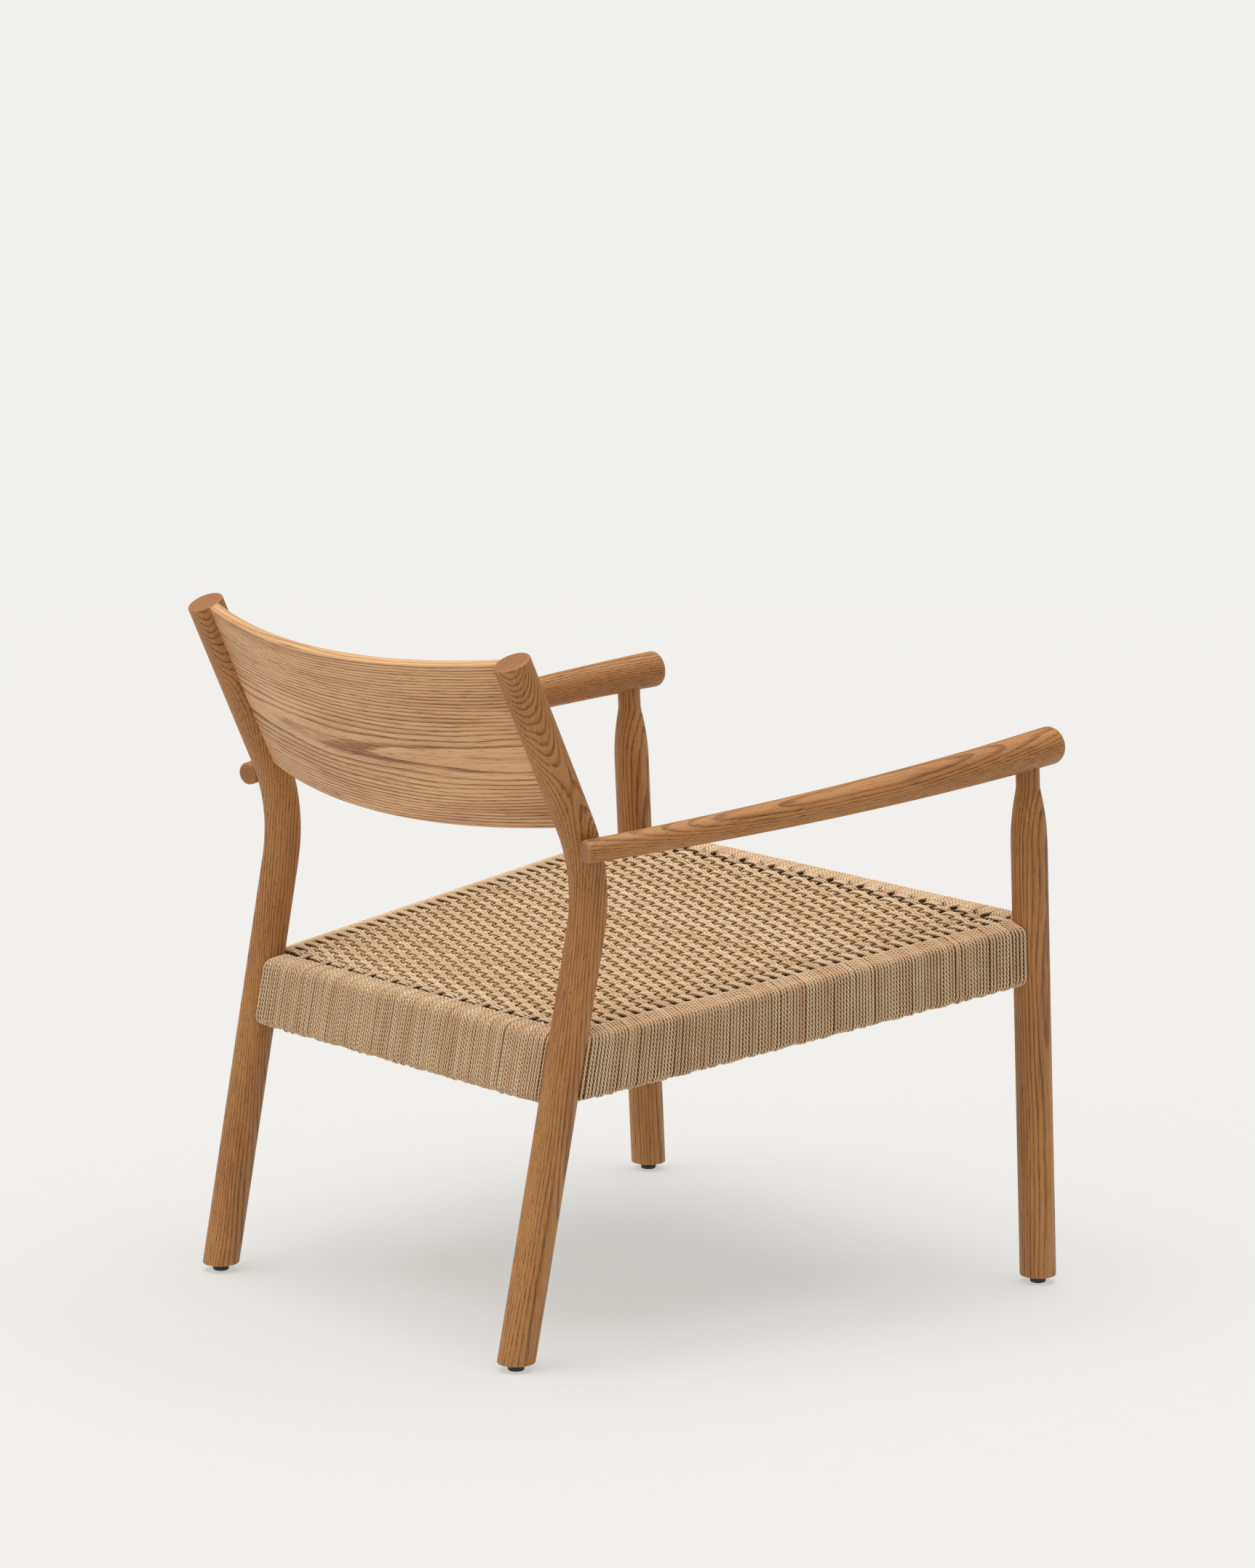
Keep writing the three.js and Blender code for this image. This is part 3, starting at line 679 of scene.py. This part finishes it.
def build_glide(place, side_name, side, material):
    foot = mirrored(FEET[place], side)
    low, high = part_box(f"glide_{place}_left")
    radius = (high[0] - low[0]) / 2
    turn = np.linspace(0, 2 * math.pi, GLIDE_SIDES, endpoint=False)
    verts = []
    for share, height in GLIDE_PROFILE:
        r = share * radius
        x, y = foot[0] + r * np.cos(turn), foot[1] + r * np.sin(turn)
        verts.append(np.stack([x, y, np.full(GLIDE_SIDES, height)], axis=1))
    rings, once = len(GLIDE_PROFILE), np.arange(GLIDE_SIDES)
    caps = [once[::-1][None], (once + (rings - 1) * GLIDE_SIDES)[None]]
    faces = [bands(rings, GLIDE_SIDES), *caps]
    piece = mesh_object(f"foot_glide_{place}_{side_name}", np.concatenate(verts), faces, {})
    return finish_piece(piece, material, [f"glide_{place}_{side_name}"])


# ---------------------------------------------------------------- seat


def seat_to_frame(points):
    """From the seat's x, u, w to the frame's x, y, z."""
    x, u, w = points[..., 0], points[..., 1], points[..., 2]
    y = FEET["front"][1] + SEAT_FROM_FRONT_FOOT + u * math.cos(SEAT_TILT) + w * math.sin(SEAT_TILT)
    z = SEAT_HEIGHT - u * math.sin(SEAT_TILT) + w * math.cos(SEAT_TILT)
    return np.stack([x, y, z], axis=-1)


def arc(centre, radius, start, stop, count=10):
    turn = np.radians(np.linspace(start, stop, count))
    return [(centre[0] + radius * math.cos(t), centre[1] + radius * math.sin(t)) for t in turn]


def round_the_rail(drop=0.0):
    """A strand's way as (n, w): from the rail's top over its outer face and under to the inner face's nail.

    drop lowers the outer top edge.
    """
    top = RAIL_ROUND_TOP
    points = [(LANDING, RAIL_TOP)]
    points += arc((RAIL_HALF - top, RAIL_TOP - drop - top), top, 90, 0, 14)
    points += arc((RAIL_HALF - RAIL_ROUND, RAIL_BOTTOM + RAIL_ROUND), RAIL_ROUND, 0, -90)
    points += arc((-RAIL_HALF + RAIL_ROUND, RAIL_BOTTOM + RAIL_ROUND), RAIL_ROUND, -90, -180)
    points += [(-RAIL_HALF, NAIL_HEIGHT)]
    return np.array(points)


def whole_wrap():
    """Once round the rail, from the middle of the inner face and back to it."""
    open_part = round_the_rail()
    inner = RAIL_ROUND_INNER
    closing = arc((-RAIL_HALF + inner, RAIL_TOP - inner), inner, 180, 90)
    start = np.array([(-RAIL_HALF, NAIL_HEIGHT)] + closing)
    return np.concatenate([start, open_part[1:]])


def uneven(count, first, last, seed):
    """Places of count strands side by side: slightly uneven, with a small opening every dozen or so."""
    dice = np.random.default_rng(seed)
    gaps = 1 + dice.normal(0, GAP_SPREAD, count - 1)
    at = 0
    while at < count - 1:
        gaps[at] += dice.uniform(*OPENING)
        at += int(dice.integers(*OPENING_EVERY))
    places = np.concatenate([[0], np.cumsum(gaps)])
    return first + (last - first) * places / places[-1]


def hug(n, near, far):
    """How far a strand is pushed along its rail by the round of the leg at either end."""
    hollow = LEG_GAP - np.sqrt(LEG_GAP**2 - np.minimum(np.abs(n), LEG_RADIUS * HUG_WIDTH) ** 2)
    return hollow * (math.exp(-(far - LEG_GAP) / HUG_REACH) - math.exp(-(near - LEG_GAP) / HUG_REACH))


def rail_slack(here, dice):
    """How far a strand hangs below its rail: an uneven wave along the rail, and a part of its own."""
    wave = math.sin(here * SLACK_RATE + SLACK_SHIFT * math.sin(here * SLACK_SHIFT_RATE))
    return SLACK + SLACK_WAVE * wave + dice.uniform(*SLACK_SPREAD)


def on_rail(base, outward, along, loop, lean, seed, ends, face_lean=0.0):
    """A loop of (n, w) set on a rail at base, leaning along it, with a slight slackness underneath.

    ends are the distances to the rail's two ends, and face_lean is the lean of the rail's own faces.
    """
    dice = np.random.default_rng(seed)
    n, w = loop[:, 0], loop[:, 1]
    slack = rail_slack(float(base @ along), dice) * ease((min(ends) - LEG_GAP) / SLACK_FADE)
    sag = slack * np.clip((RAIL_BOTTOM + SAG_HEIGHT - w) / SAG_HEIGHT, 0, 1)
    slide = (w - RAIL_MIDDLE) * (lean + dice.normal(0, LEAN_SPREAD)) + hug(n, *ends)
    flat = base[None] + n[:, None] * outward[None] + slide[:, None] * along[None]
    flat[:, 1] -= (w - RAIL_MIDDLE) * face_lean
    return np.concatenate([flat, (w - sag)[:, None]], axis=1)


def ease(value):
    value = np.clip(value, 0, 1)
    return value * value * (3 - 2 * value)


def side_rail_points():
    """Where each of the strands over a side rail crosses its middle height, and its lean along the rail."""
    length = np.linalg.norm(FRONT_CORNER - REAR_CORNER)
    places = uneven(2 * WEFTS, LEG_GAP, length - LEG_GAP, SEEDS["side_rail"])
    lean = FRONT_LEG_LEAN + (REAR_LEG_LEAN - FRONT_LEG_LEAN) * np.exp(-places / LEAN_FADE)
    return places, lean


def warp_places():
    """x of every strand on the rear rail and its warp pairs' numbers, then the same for the front rail."""

    def between_legs(count, corner, seed):
        return uneven(count, -corner[0] + LEG_GAP, corner[0] - LEG_GAP, SEEDS[seed])

    rear = between_legs(REAR_SLOTS * WARPS - 1, REAR_CORNER, "rear_rail")
    rear_warps = [(REAR_SLOTS * k + 1, REAR_SLOTS * k + 2) for k in range(WARPS)]
    slots, front_warps = 1, []
    for k in range(WARPS):
        front_warps.append((slots, slots + 1))
        slots += 2 + FRONT_SLOTS[k % 2]
    front = between_legs(slots - 3, FRONT_CORNER, "front_rail")
    return rear, rear_warps, front, front_warps


def weft_lines(places, lean):
    """For each weft pair, the u where it leaves the side rails, for its two strands."""
    direction = unit(FRONT_CORNER - REAR_CORNER)
    top = places + (RAIL_TOP - RAIL_MIDDLE) * lean
    u = REAR_CORNER[1] + top * direction[1]
    return u.reshape(WEFTS, 2)


def dying(bow, pairs):
    """What is left of a bow after a number of weft pairs."""
    size, reach = bow
    return size * math.exp(-pairs / reach)


def bow_of(pair, x):
    """How far a weft is beaten up between the legs: above 0 to the rear rail, below 0 to the front one."""
    rear = dying(REAR_BOW, pair) - dying(REAR_BOW_FIRST, pair)
    front = dying(FRONT_BOW, WEFTS - 1 - pair)
    x = np.abs(x)
    return rear * ease((REAR_BOW_HALF - x) / BOW_EASE) - front * ease((FRONT_BOW_HALF - x) / BOW_EASE)


def weft_path(pair, strand, places, lean, lines, warp_x_at):
    """One strand of a weft pair from the left rail's nail, across the seat, to the right rail's."""
    index = 2 * pair + strand
    direction = unit(FRONT_CORNER - REAR_CORNER)
    outward = np.array([-direction[1], direction[0]])
    base = REAR_CORNER + direction * places[index]
    length = np.linalg.norm(FRONT_CORNER - REAR_CORNER)
    ends = (places[index], length - places[index])
    loop = round_the_rail(SIDE_RAIL_DROP)
    left = on_rail(base, outward, direction, loop, lean[index], SEEDS["left_wefts"] + index, ends)
    right = on_rail(base, outward, direction, loop, lean[index], SEEDS["right_wefts"] + index, ends)
    right[:, 0] *= -1
    start, stop = left[0], right[0]
    x = np.linspace(start[0], stop[0], WEFT_STEPS)[1:-1]
    u_own = lines[pair, strand]
    u = u_own + bow_of(pair, x) + (lines[pair].mean() - u_own) * PAIR_PULL
    crossing = np.interp(x, warp_x_at(u_own), np.arange(WARPS))
    wave = np.sin(math.pi / 2 * np.cos(math.pi * crossing)) * (-1) ** pair
    wobble = WOBBLE * np.sin(x * WOBBLE_RATE + pair * WOBBLE_STEP + strand)
    from_rail = abs(start[0]) - np.abs(x)
    edge = ease(1 - np.minimum(crossing, WARPS - 1 - crossing) / WEFT_EDGE[0])
    dive = EDGE_DIVE * edge * np.where(wave < 0, 1, WEFT_EDGE[1])
    settle = ease((from_rail - STILL_ON_RAIL) / np.where(wave < 0, SETTLE, SETTLE_OVER))
    w = RAIL_TOP + (WEAVE_MIDDLE + WEFT_LIFT * wave - dive - RAIL_TOP) * settle
    u = u * settle + start[1] * (1 - settle) + wobble * settle
    field = np.stack([x, u, w], axis=1)
    return np.concatenate([left[::-1], field, right])


def warp_path(k, strand, rear, rear_warps, front, front_warps, lines):
    """One strand of a warp pair from the rear rail's nail to the front rail's."""
    x_rear = rear[rear_warps[k][strand]]
    x_front = front[front_warps[k][strand]]
    loop = round_the_rail()
    number = 2 * k + strand
    axis_x = np.array([1.0, 0.0])
    rear_ends = (REAR_CORNER[0] + x_rear, REAR_CORNER[0] - x_rear)
    front_ends = (FRONT_CORNER[0] + x_front, FRONT_CORNER[0] - x_front)
    rear_base = np.array([x_rear, REAR_CORNER[1]])
    front_base = np.array([x_front, FRONT_CORNER[1]])
    seeds = (SEEDS["warps"] + number, SEEDS["warps_front"] + number)
    rearwards, forwards = np.array([0.0, 1.0]), np.array([0.0, -1.0])
    back = on_rail(rear_base, rearwards, axis_x, loop, 0.0, seeds[0], rear_ends, REAR_LEG_LEAN)
    fore = on_rail(front_base, forwards, axis_x, loop, 0.0, seeds[1], front_ends, FRONT_LEG_LEAN)
    u = np.linspace(back[0, 1], fore[0, 1], WARP_STEPS)[1:-1]
    share = (back[0, 1] - u) / (back[0, 1] - fore[0, 1])
    x = x_rear + (x_front - x_rear) * share
    middles = lines.mean(axis=1)
    middles = middles + np.array([float(bow_of(j, x_rear)) for j in range(WEFTS)])
    crossing = np.interp(-u, -middles, np.arange(WEFTS))
    wave = np.cos(math.pi * crossing) * (-1) ** k
    settle = ease((np.minimum(back[0, 1] - u, u - fore[0, 1]) - STILL_ON_RAIL) / SETTLE)
    edge = ease(1 - np.minimum(crossing, WEFTS - 1 - crossing) / WARP_EDGE[0])
    lift = WARP_LIFT + EDGE_DIVE * edge * np.where(wave > 0, 1, WARP_EDGE[1])
    w = RAIL_TOP + (WEAVE_MIDDLE - lift * wave - RAIL_TOP) * settle
    field = np.stack([x, u, w], axis=1)
    return np.concatenate([back[::-1], field, fore])


def wrap_paths(places, warps, corner, outward, seed):
    """Plain wraps of a rail between the warps: each turn moves on by one cord."""
    used = {slot for pair in warps for slot in pair}
    loop = whole_wrap()
    out = []
    for slot, x in enumerate(places):
        if slot in used:
            continue
        base = np.array([x, corner[1]])
        ends = (corner[0] + x, corner[0] - x)
        face = np.array([0.0, outward])
        lean = REAR_LEG_LEAN if outward > 0 else FRONT_LEG_LEAN
        turn = on_rail(base, face, np.array([1.0, 0.0]), loop, 0.0, seed + slot, ends, lean)
        shift = np.linspace(-0.5, 0.5, len(turn)) * CORD
        turn[:, 0] += shift * ease(np.abs(np.linspace(-1, 1, len(turn))) * WRAP_STEP_EASE)
        out.append(turn)
    return out


def outward_at(points):
    """The open side of the cord at points: up in the field, away from the middle of a rail on the rails."""
    x, u, w = points.T
    share = (REAR_CORNER[1] - u) / (REAR_CORNER[1] - FRONT_CORNER[1])
    half_width = REAR_CORNER[0] + (FRONT_CORNER[0] - REAR_CORNER[0]) * share
    sideways = half_width - np.abs(x)
    to_rear = REAR_CORNER[1] - u - (w - RAIL_MIDDLE) * REAR_LEG_LEAN
    to_front = u + (w - RAIL_MIDDLE) * FRONT_LEG_LEAN - FRONT_CORNER[1]
    endways = np.minimum(to_rear, to_front)
    nearest = np.minimum(sideways, endways)
    across = np.clip(-nearest / RAIL_HALF, -FACE_LIMIT, FACE_LIMIT)
    height = (w - RAIL_MIDDLE) / (RAIL_TOP - RAIL_MIDDLE)
    over_rail = (nearest < OVER_RAIL * RAIL_HALF) | (w < UNDER_FIELD)
    level = np.where(over_rail, np.abs(across) ** FACE_POWER * np.sign(across), 0.0)
    rise = np.where(over_rail, np.abs(height) ** FACE_POWER * np.sign(height), 1.0)
    on_side = sideways < endways
    out_x = np.where(on_side, np.sign(x), 0) * level
    out_u = np.where(on_side, 0, np.sign(u)) * level
    out = np.stack([out_x, out_u, rise], axis=1)
    return out / np.maximum(np.linalg.norm(out, axis=1, keepdims=True), 1e-6)


def strand_mesh(points, tag):
    """Vertices, triangles and attributes of one three-ply strand.

    Each ring's ridges lie one vertex on from the last ring's, which twists the plies.
    """
    sides = CORD_SIDES
    total = lengths_along(points)[-1]
    count = max(6, int(round(total / (CORD_LAY / sides))) + 1)
    centre = resample(points, count)
    forward = tangents(centre)
    normal = np.empty_like(forward)
    guide = unit(np.cross(forward[0], [0.3, 0.5, 0.8]))
    spin = tag[1] * 2 * math.pi
    normal[0] = guide * math.cos(spin) + np.cross(forward[0], guide) * math.sin(spin)
    for i in range(1, count):
        v = normal[i - 1] - forward[i] * (normal[i - 1] @ forward[i])
        normal[i] = v / math.sqrt(v @ v)
    other = np.cross(forward, normal)
    turn = np.arange(sides) * (2 * math.pi / sides)
    station = np.arange(count)[:, None]
    phase = (np.arange(sides)[None] + station) % (sides // 3)
    ridge = np.cos(phase * (2 * math.pi / (sides // 3))) * 0.5 + 0.5
    radius = CORD / 2 * (VALLEY_RADIUS + RIDGE_RISE * ridge)
    ring = normal[:, None] * np.cos(turn)[None, :, None] + other[:, None] * np.sin(turn)[None, :, None]
    verts = centre[:, None] + ring * radius[..., None]
    i, j = np.meshgrid(np.arange(count - 1), np.arange(sides), indexing="ij")
    a, b = i * sides + j, i * sides + (j + 1) % sides
    c, d = b + sides, a + sides
    tris = np.concatenate([np.stack(corners, -1).reshape(-1, 3) for corners in ((a, b, d), (b, c, d))])
    along = np.broadcast_to(station * (CORD_LAY / sides), radius.shape)
    angle = np.broadcast_to(np.arange(sides)[None] / sides, radius.shape)
    lay = np.stack([angle, along, ridge], axis=-1).reshape(-1, 3)
    # Painted shade on the sides that face away from the cord's open side, stronger low down on the rails'
    # faces.
    facing = np.einsum("ijk,ik->ij", ring, outward_at(centre))
    flank = ease((FLANK_START - facing) / FLANK_START)
    flank = flank * (0.5 + 0.5 * ease((FLANK_TOP - centre[:, 2:]) / FLANK_DEPTH))
    return verts.reshape(-1, 3), tris, lay, flank.ravel()


def recess_shade(verts):
    """Painted shade low between the field's strands: how far down a vertex lies, from 0 on top to 1, and 0 on
    the rails.
    """
    x, u, w = verts.T
    share = (REAR_CORNER[1] - u) / (REAR_CORNER[1] - FRONT_CORNER[1])
    half_width = REAR_CORNER[0] + (FRONT_CORNER[0] - REAR_CORNER[0]) * share
    from_end = np.minimum(REAR_CORNER[1] - u, u - FRONT_CORNER[1]) - RAIL_HALF
    from_side = half_width - np.abs(x) - RAIL_HALF
    inside = np.minimum(from_end, from_side)
    # Next to the rails the painted shade starts higher up, as a painted shadow under the rail's edge.
    by_end = ease((BY_END_RAIL[0] - from_end) / BY_END_RAIL[1])
    by_side = ease((BY_SIDE_RAIL[0] - from_side) / BY_SIDE_RAIL[1])
    top = RECESS_TOP + (RECESS_TOP_BY_RAIL - RECESS_TOP) * np.maximum(by_end, by_side)
    return np.clip(inside / RECESS_EDGE + 1, 0, 1) * ease((top - w) / RECESS_DEPTH)


def hook(a, b):
    """The cord's turn over its nail, from the end of one strand to the end of its neighbour."""
    middle, half = (a + b) / 2, (a - b) / 2
    rise = np.array([0, 0, np.linalg.norm(half)])
    turn = np.linspace(0, math.pi, 10)[1:-1, None]
    return middle + half * np.cos(turn) + rise * np.sin(turn)


def doubled(first, second):
    """Two neighbouring strands joined into one loop over the nails at both their ends."""
    over, back = hook(first[-1], second[-1]), hook(second[0], first[0])
    return np.concatenate([first, over, second[::-1], back, first[:1]])


def cord_piece(name, paths, material, nodes=()):
    """Many strands as one piece."""
    verts, tris, lays, strands, base = [], [], [], [], 0
    for path in paths:
        tag = rng.uniform(0, 1, 3)
        v, t, lay, flank = strand_mesh(path, tag)
        # The strand's own tone, then its painted shade low down and on its flanks.
        strand = np.stack([np.full(len(v), tag[0]), recess_shade(v), flank], axis=1)
        verts.append(seat_to_frame(v))
        tris.append(t + base)
        lays.append(lay)
        strands.append(strand)
        base += len(v)
    attributes = {"lay": np.concatenate(lays), "strand": np.concatenate(strands)}
    piece = mesh_object(name, np.concatenate(verts), [np.concatenate(tris)], attributes)
    return finish_piece(piece, material, nodes)


WEFT_PIECES = 5


def build_seat(material):
    places, lean = side_rail_points()
    lines = weft_lines(places, lean)
    rear, rear_warps, front, front_warps = warp_places()
    rear_x = np.array([rear[list(pair)].mean() for pair in rear_warps])
    front_x = np.array([front[list(pair)].mean() for pair in front_warps])

    def warp_x_at(u):
        share = (REAR_CORNER[1] - u) / (REAR_CORNER[1] - FRONT_CORNER[1])
        return rear_x + (front_x - rear_x) * share

    warps = [
        doubled(*(warp_path(k, strand, rear, rear_warps, front, front_warps, lines) for strand in (0, 1)))
        for k in range(WARPS)
    ]
    wefts = [
        doubled(*(weft_path(pair, strand, places, lean, lines, warp_x_at) for strand in (0, 1)))
        for pair in range(WEFTS)
    ]
    half = len(warps) // 2
    cord_piece("seat_warps_1", warps[:half], material, ["seat_weave"])
    cord_piece("seat_warps_2", warps[half:], material)
    for g in range(WEFT_PIECES):
        chosen = wefts[g * len(wefts) // WEFT_PIECES : (g + 1) * len(wefts) // WEFT_PIECES]
        nodes = ["cord_wrap_left", "cord_wrap_right"] if g == 0 else []
        cord_piece(f"seat_wefts_{g + 1}", chosen, material, nodes)
    rear_wraps = wrap_paths(rear, rear_warps, REAR_CORNER, 1, SEEDS["rear_wraps"])
    cord_piece("rear_rail_wraps", rear_wraps, material, ["cord_wrap_back"])
    front_wraps = wrap_paths(front, front_warps, FRONT_CORNER, -1, SEEDS["front_wraps"])
    cord_piece("front_rail_wraps", front_wraps, material, ["cord_wrap_front"])


def dress_frame_nodes(oak_material):
    """Rails and dowels inside the joints keep their CAD shape, in plain wood."""
    for name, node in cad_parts.items():
        if name.startswith(("seat_rail", "dowel")):
            node.data.materials.clear()
            node.data.materials.append(oak_material)


# ---------------------------------------------------------------- stage, light and camera


BACKDROP = (241, 240, 236)
SKY = (1.0, 0.94, 0.86, 1.0)
SKY_STRENGTH = 0.40
FLOOR_DARK = (0.296, 0.294, 0.294, 1)
FLOOR_PALE = (0.306, 0.304, 0.304, 1)
FLOOR_GLOW = 0.56
FLOOR_RADIUS = 9.0
FLOOR_FADE = (3.2, 6.2)  # the floor turns into the backdrop between these distances
LIGHTS = (  # name, direction, strength, spread in degrees, colour
    ("top_light", (0.02, 0.02, 1.0), 2.65, 64, (0.975, 0.985, 1.0)),
    ("rear_light", (0.35, 0.9, 0.62), 0.5, 60, (1.0, 0.92, 0.82)),
)


def floor_material():
    s = Shader("studio_floor")
    place = s.add("ShaderNodeTexCoord").outputs["Object"]
    speckle = s.noise(place, 40.0, 3.0)
    colour = s.mix(speckle, FLOOR_DARK, FLOOR_PALE)
    s.finish(
        Base_Color=colour,
        Roughness=0.95,
        Specular_IOR_Level=0.0,
        Emission_Color=rgb(*BACKDROP),
        Emission_Strength=FLOOR_GLOW,
    )
    distance = s.add("ShaderNodeVectorMath", {0: place}, operation="LENGTH").outputs["Value"]
    fade = s.smooth(distance, *FLOOR_FADE)
    clear = s.add("ShaderNodeBsdfTransparent")
    blend = s.add("ShaderNodeMixShader", {0: fade, 1: s.surface.outputs[0], 2: clear.outputs[0]})
    out = s.tree.nodes["Material Output"]
    s.tree.links.new(blend.outputs[0], out.inputs["Surface"])
    return s.material


def build_stage():
    bpy.ops.mesh.primitive_circle_add(vertices=128, radius=FLOOR_RADIUS, fill_type="NGON", location=(0, 0, 0))
    floor = bpy.context.object
    floor.name = "floor"
    floor.data.materials.append(floor_material())
    world = bpy.data.worlds.new("studio")
    bpy.context.scene.world = world
    world.use_nodes = True
    tree = world.node_tree
    background = tree.nodes["Background"]
    background.inputs["Color"].default_value = SKY
    background.inputs["Strength"].default_value = SKY_STRENGTH
    backdrop = tree.nodes.new("ShaderNodeBackground")
    backdrop.inputs["Color"].default_value = rgb(*BACKDROP)
    seen = tree.nodes.new("ShaderNodeLightPath")
    choose = tree.nodes.new("ShaderNodeMixShader")
    tree.links.new(seen.outputs["Is Camera Ray"], choose.inputs[0])
    tree.links.new(background.outputs[0], choose.inputs[1])
    tree.links.new(backdrop.outputs[0], choose.inputs[2])
    tree.links.new(choose.outputs[0], tree.nodes["World Output"].inputs["Surface"])


def soft_sun(name, towards, strength, spread, colour):
    """Wide even light from one side, the same over the whole floor."""
    data = bpy.data.lights.new(name, "SUN")
    data.energy = strength
    data.angle = math.radians(spread)
    data.color = colour
    lamp = bpy.data.objects.new(name, data)
    lamp.location = Vector(towards) * 3
    lamp.rotation_euler = Vector(towards).to_track_quat("Z", "Y").to_euler()
    bpy.context.scene.collection.objects.link(lamp)


CAMERA_AZIMUTH = math.radians(231.17)
CAMERA_ELEVATION = math.radians(10.06)
CAMERA_DISTANCE = 6.727
CAMERA_TARGET = Vector((0.0, -0.0440, 0.5417))
CAMERA_LENS = 141.2


def build_camera():
    data = bpy.data.cameras.new("camera")
    data.lens = CAMERA_LENS
    data.sensor_width = 36.0
    camera = bpy.data.objects.new("camera", data)
    flat = math.cos(CAMERA_ELEVATION)
    x, y = math.sin(CAMERA_AZIMUTH) * flat, -math.cos(CAMERA_AZIMUTH) * flat
    back = Vector((x, y, math.sin(CAMERA_ELEVATION)))
    camera.location = CAMERA_TARGET + back * CAMERA_DISTANCE
    camera.rotation_euler = back.to_track_quat("Z", "Y").to_euler()
    bpy.context.scene.collection.objects.link(camera)
    bpy.context.scene.camera = camera


def build_chair():
    leg_oak = oak("oiled_oak", OAK_PALE, OAK_DARK, (0.034, 0.021))
    arm_oak = oak("oiled_oak_arms", OAK_PALE, OAK_DARK, (0.045, -0.012), ring=0.0026)
    panel_look = {"ring": 0.0029, "ring_depth": 0.6, "drift": 0.009}
    panel_oak = oak("panel_oak", PANEL_PALE, PANEL_DARK, (0.055, -0.085), **panel_look)
    hidden_oak = oak("rail_oak", OAK_PALE, OAK_DARK, (0.1, 0.1), on_frame=True)
    cord = paper_cord("paper_cord")
    plastic = black_plastic("glide_plastic")
    for side_name, side in SIDES.items():
        build_rear_leg(side_name, side, leg_oak)
        build_front_leg(side_name, side, leg_oak)
        build_arm(side_name, side, arm_oak)
        for place in FEET:
            build_glide(place, side_name, side, plastic)
    build_backrest(panel_oak)
    build_seat(cord)
    dress_frame_nodes(hidden_oak)


bpy.context.scene.view_settings.view_transform = "Standard"
build_chair()
build_stage()
for light in LIGHTS:
    soft_sun(*light)
build_camera()
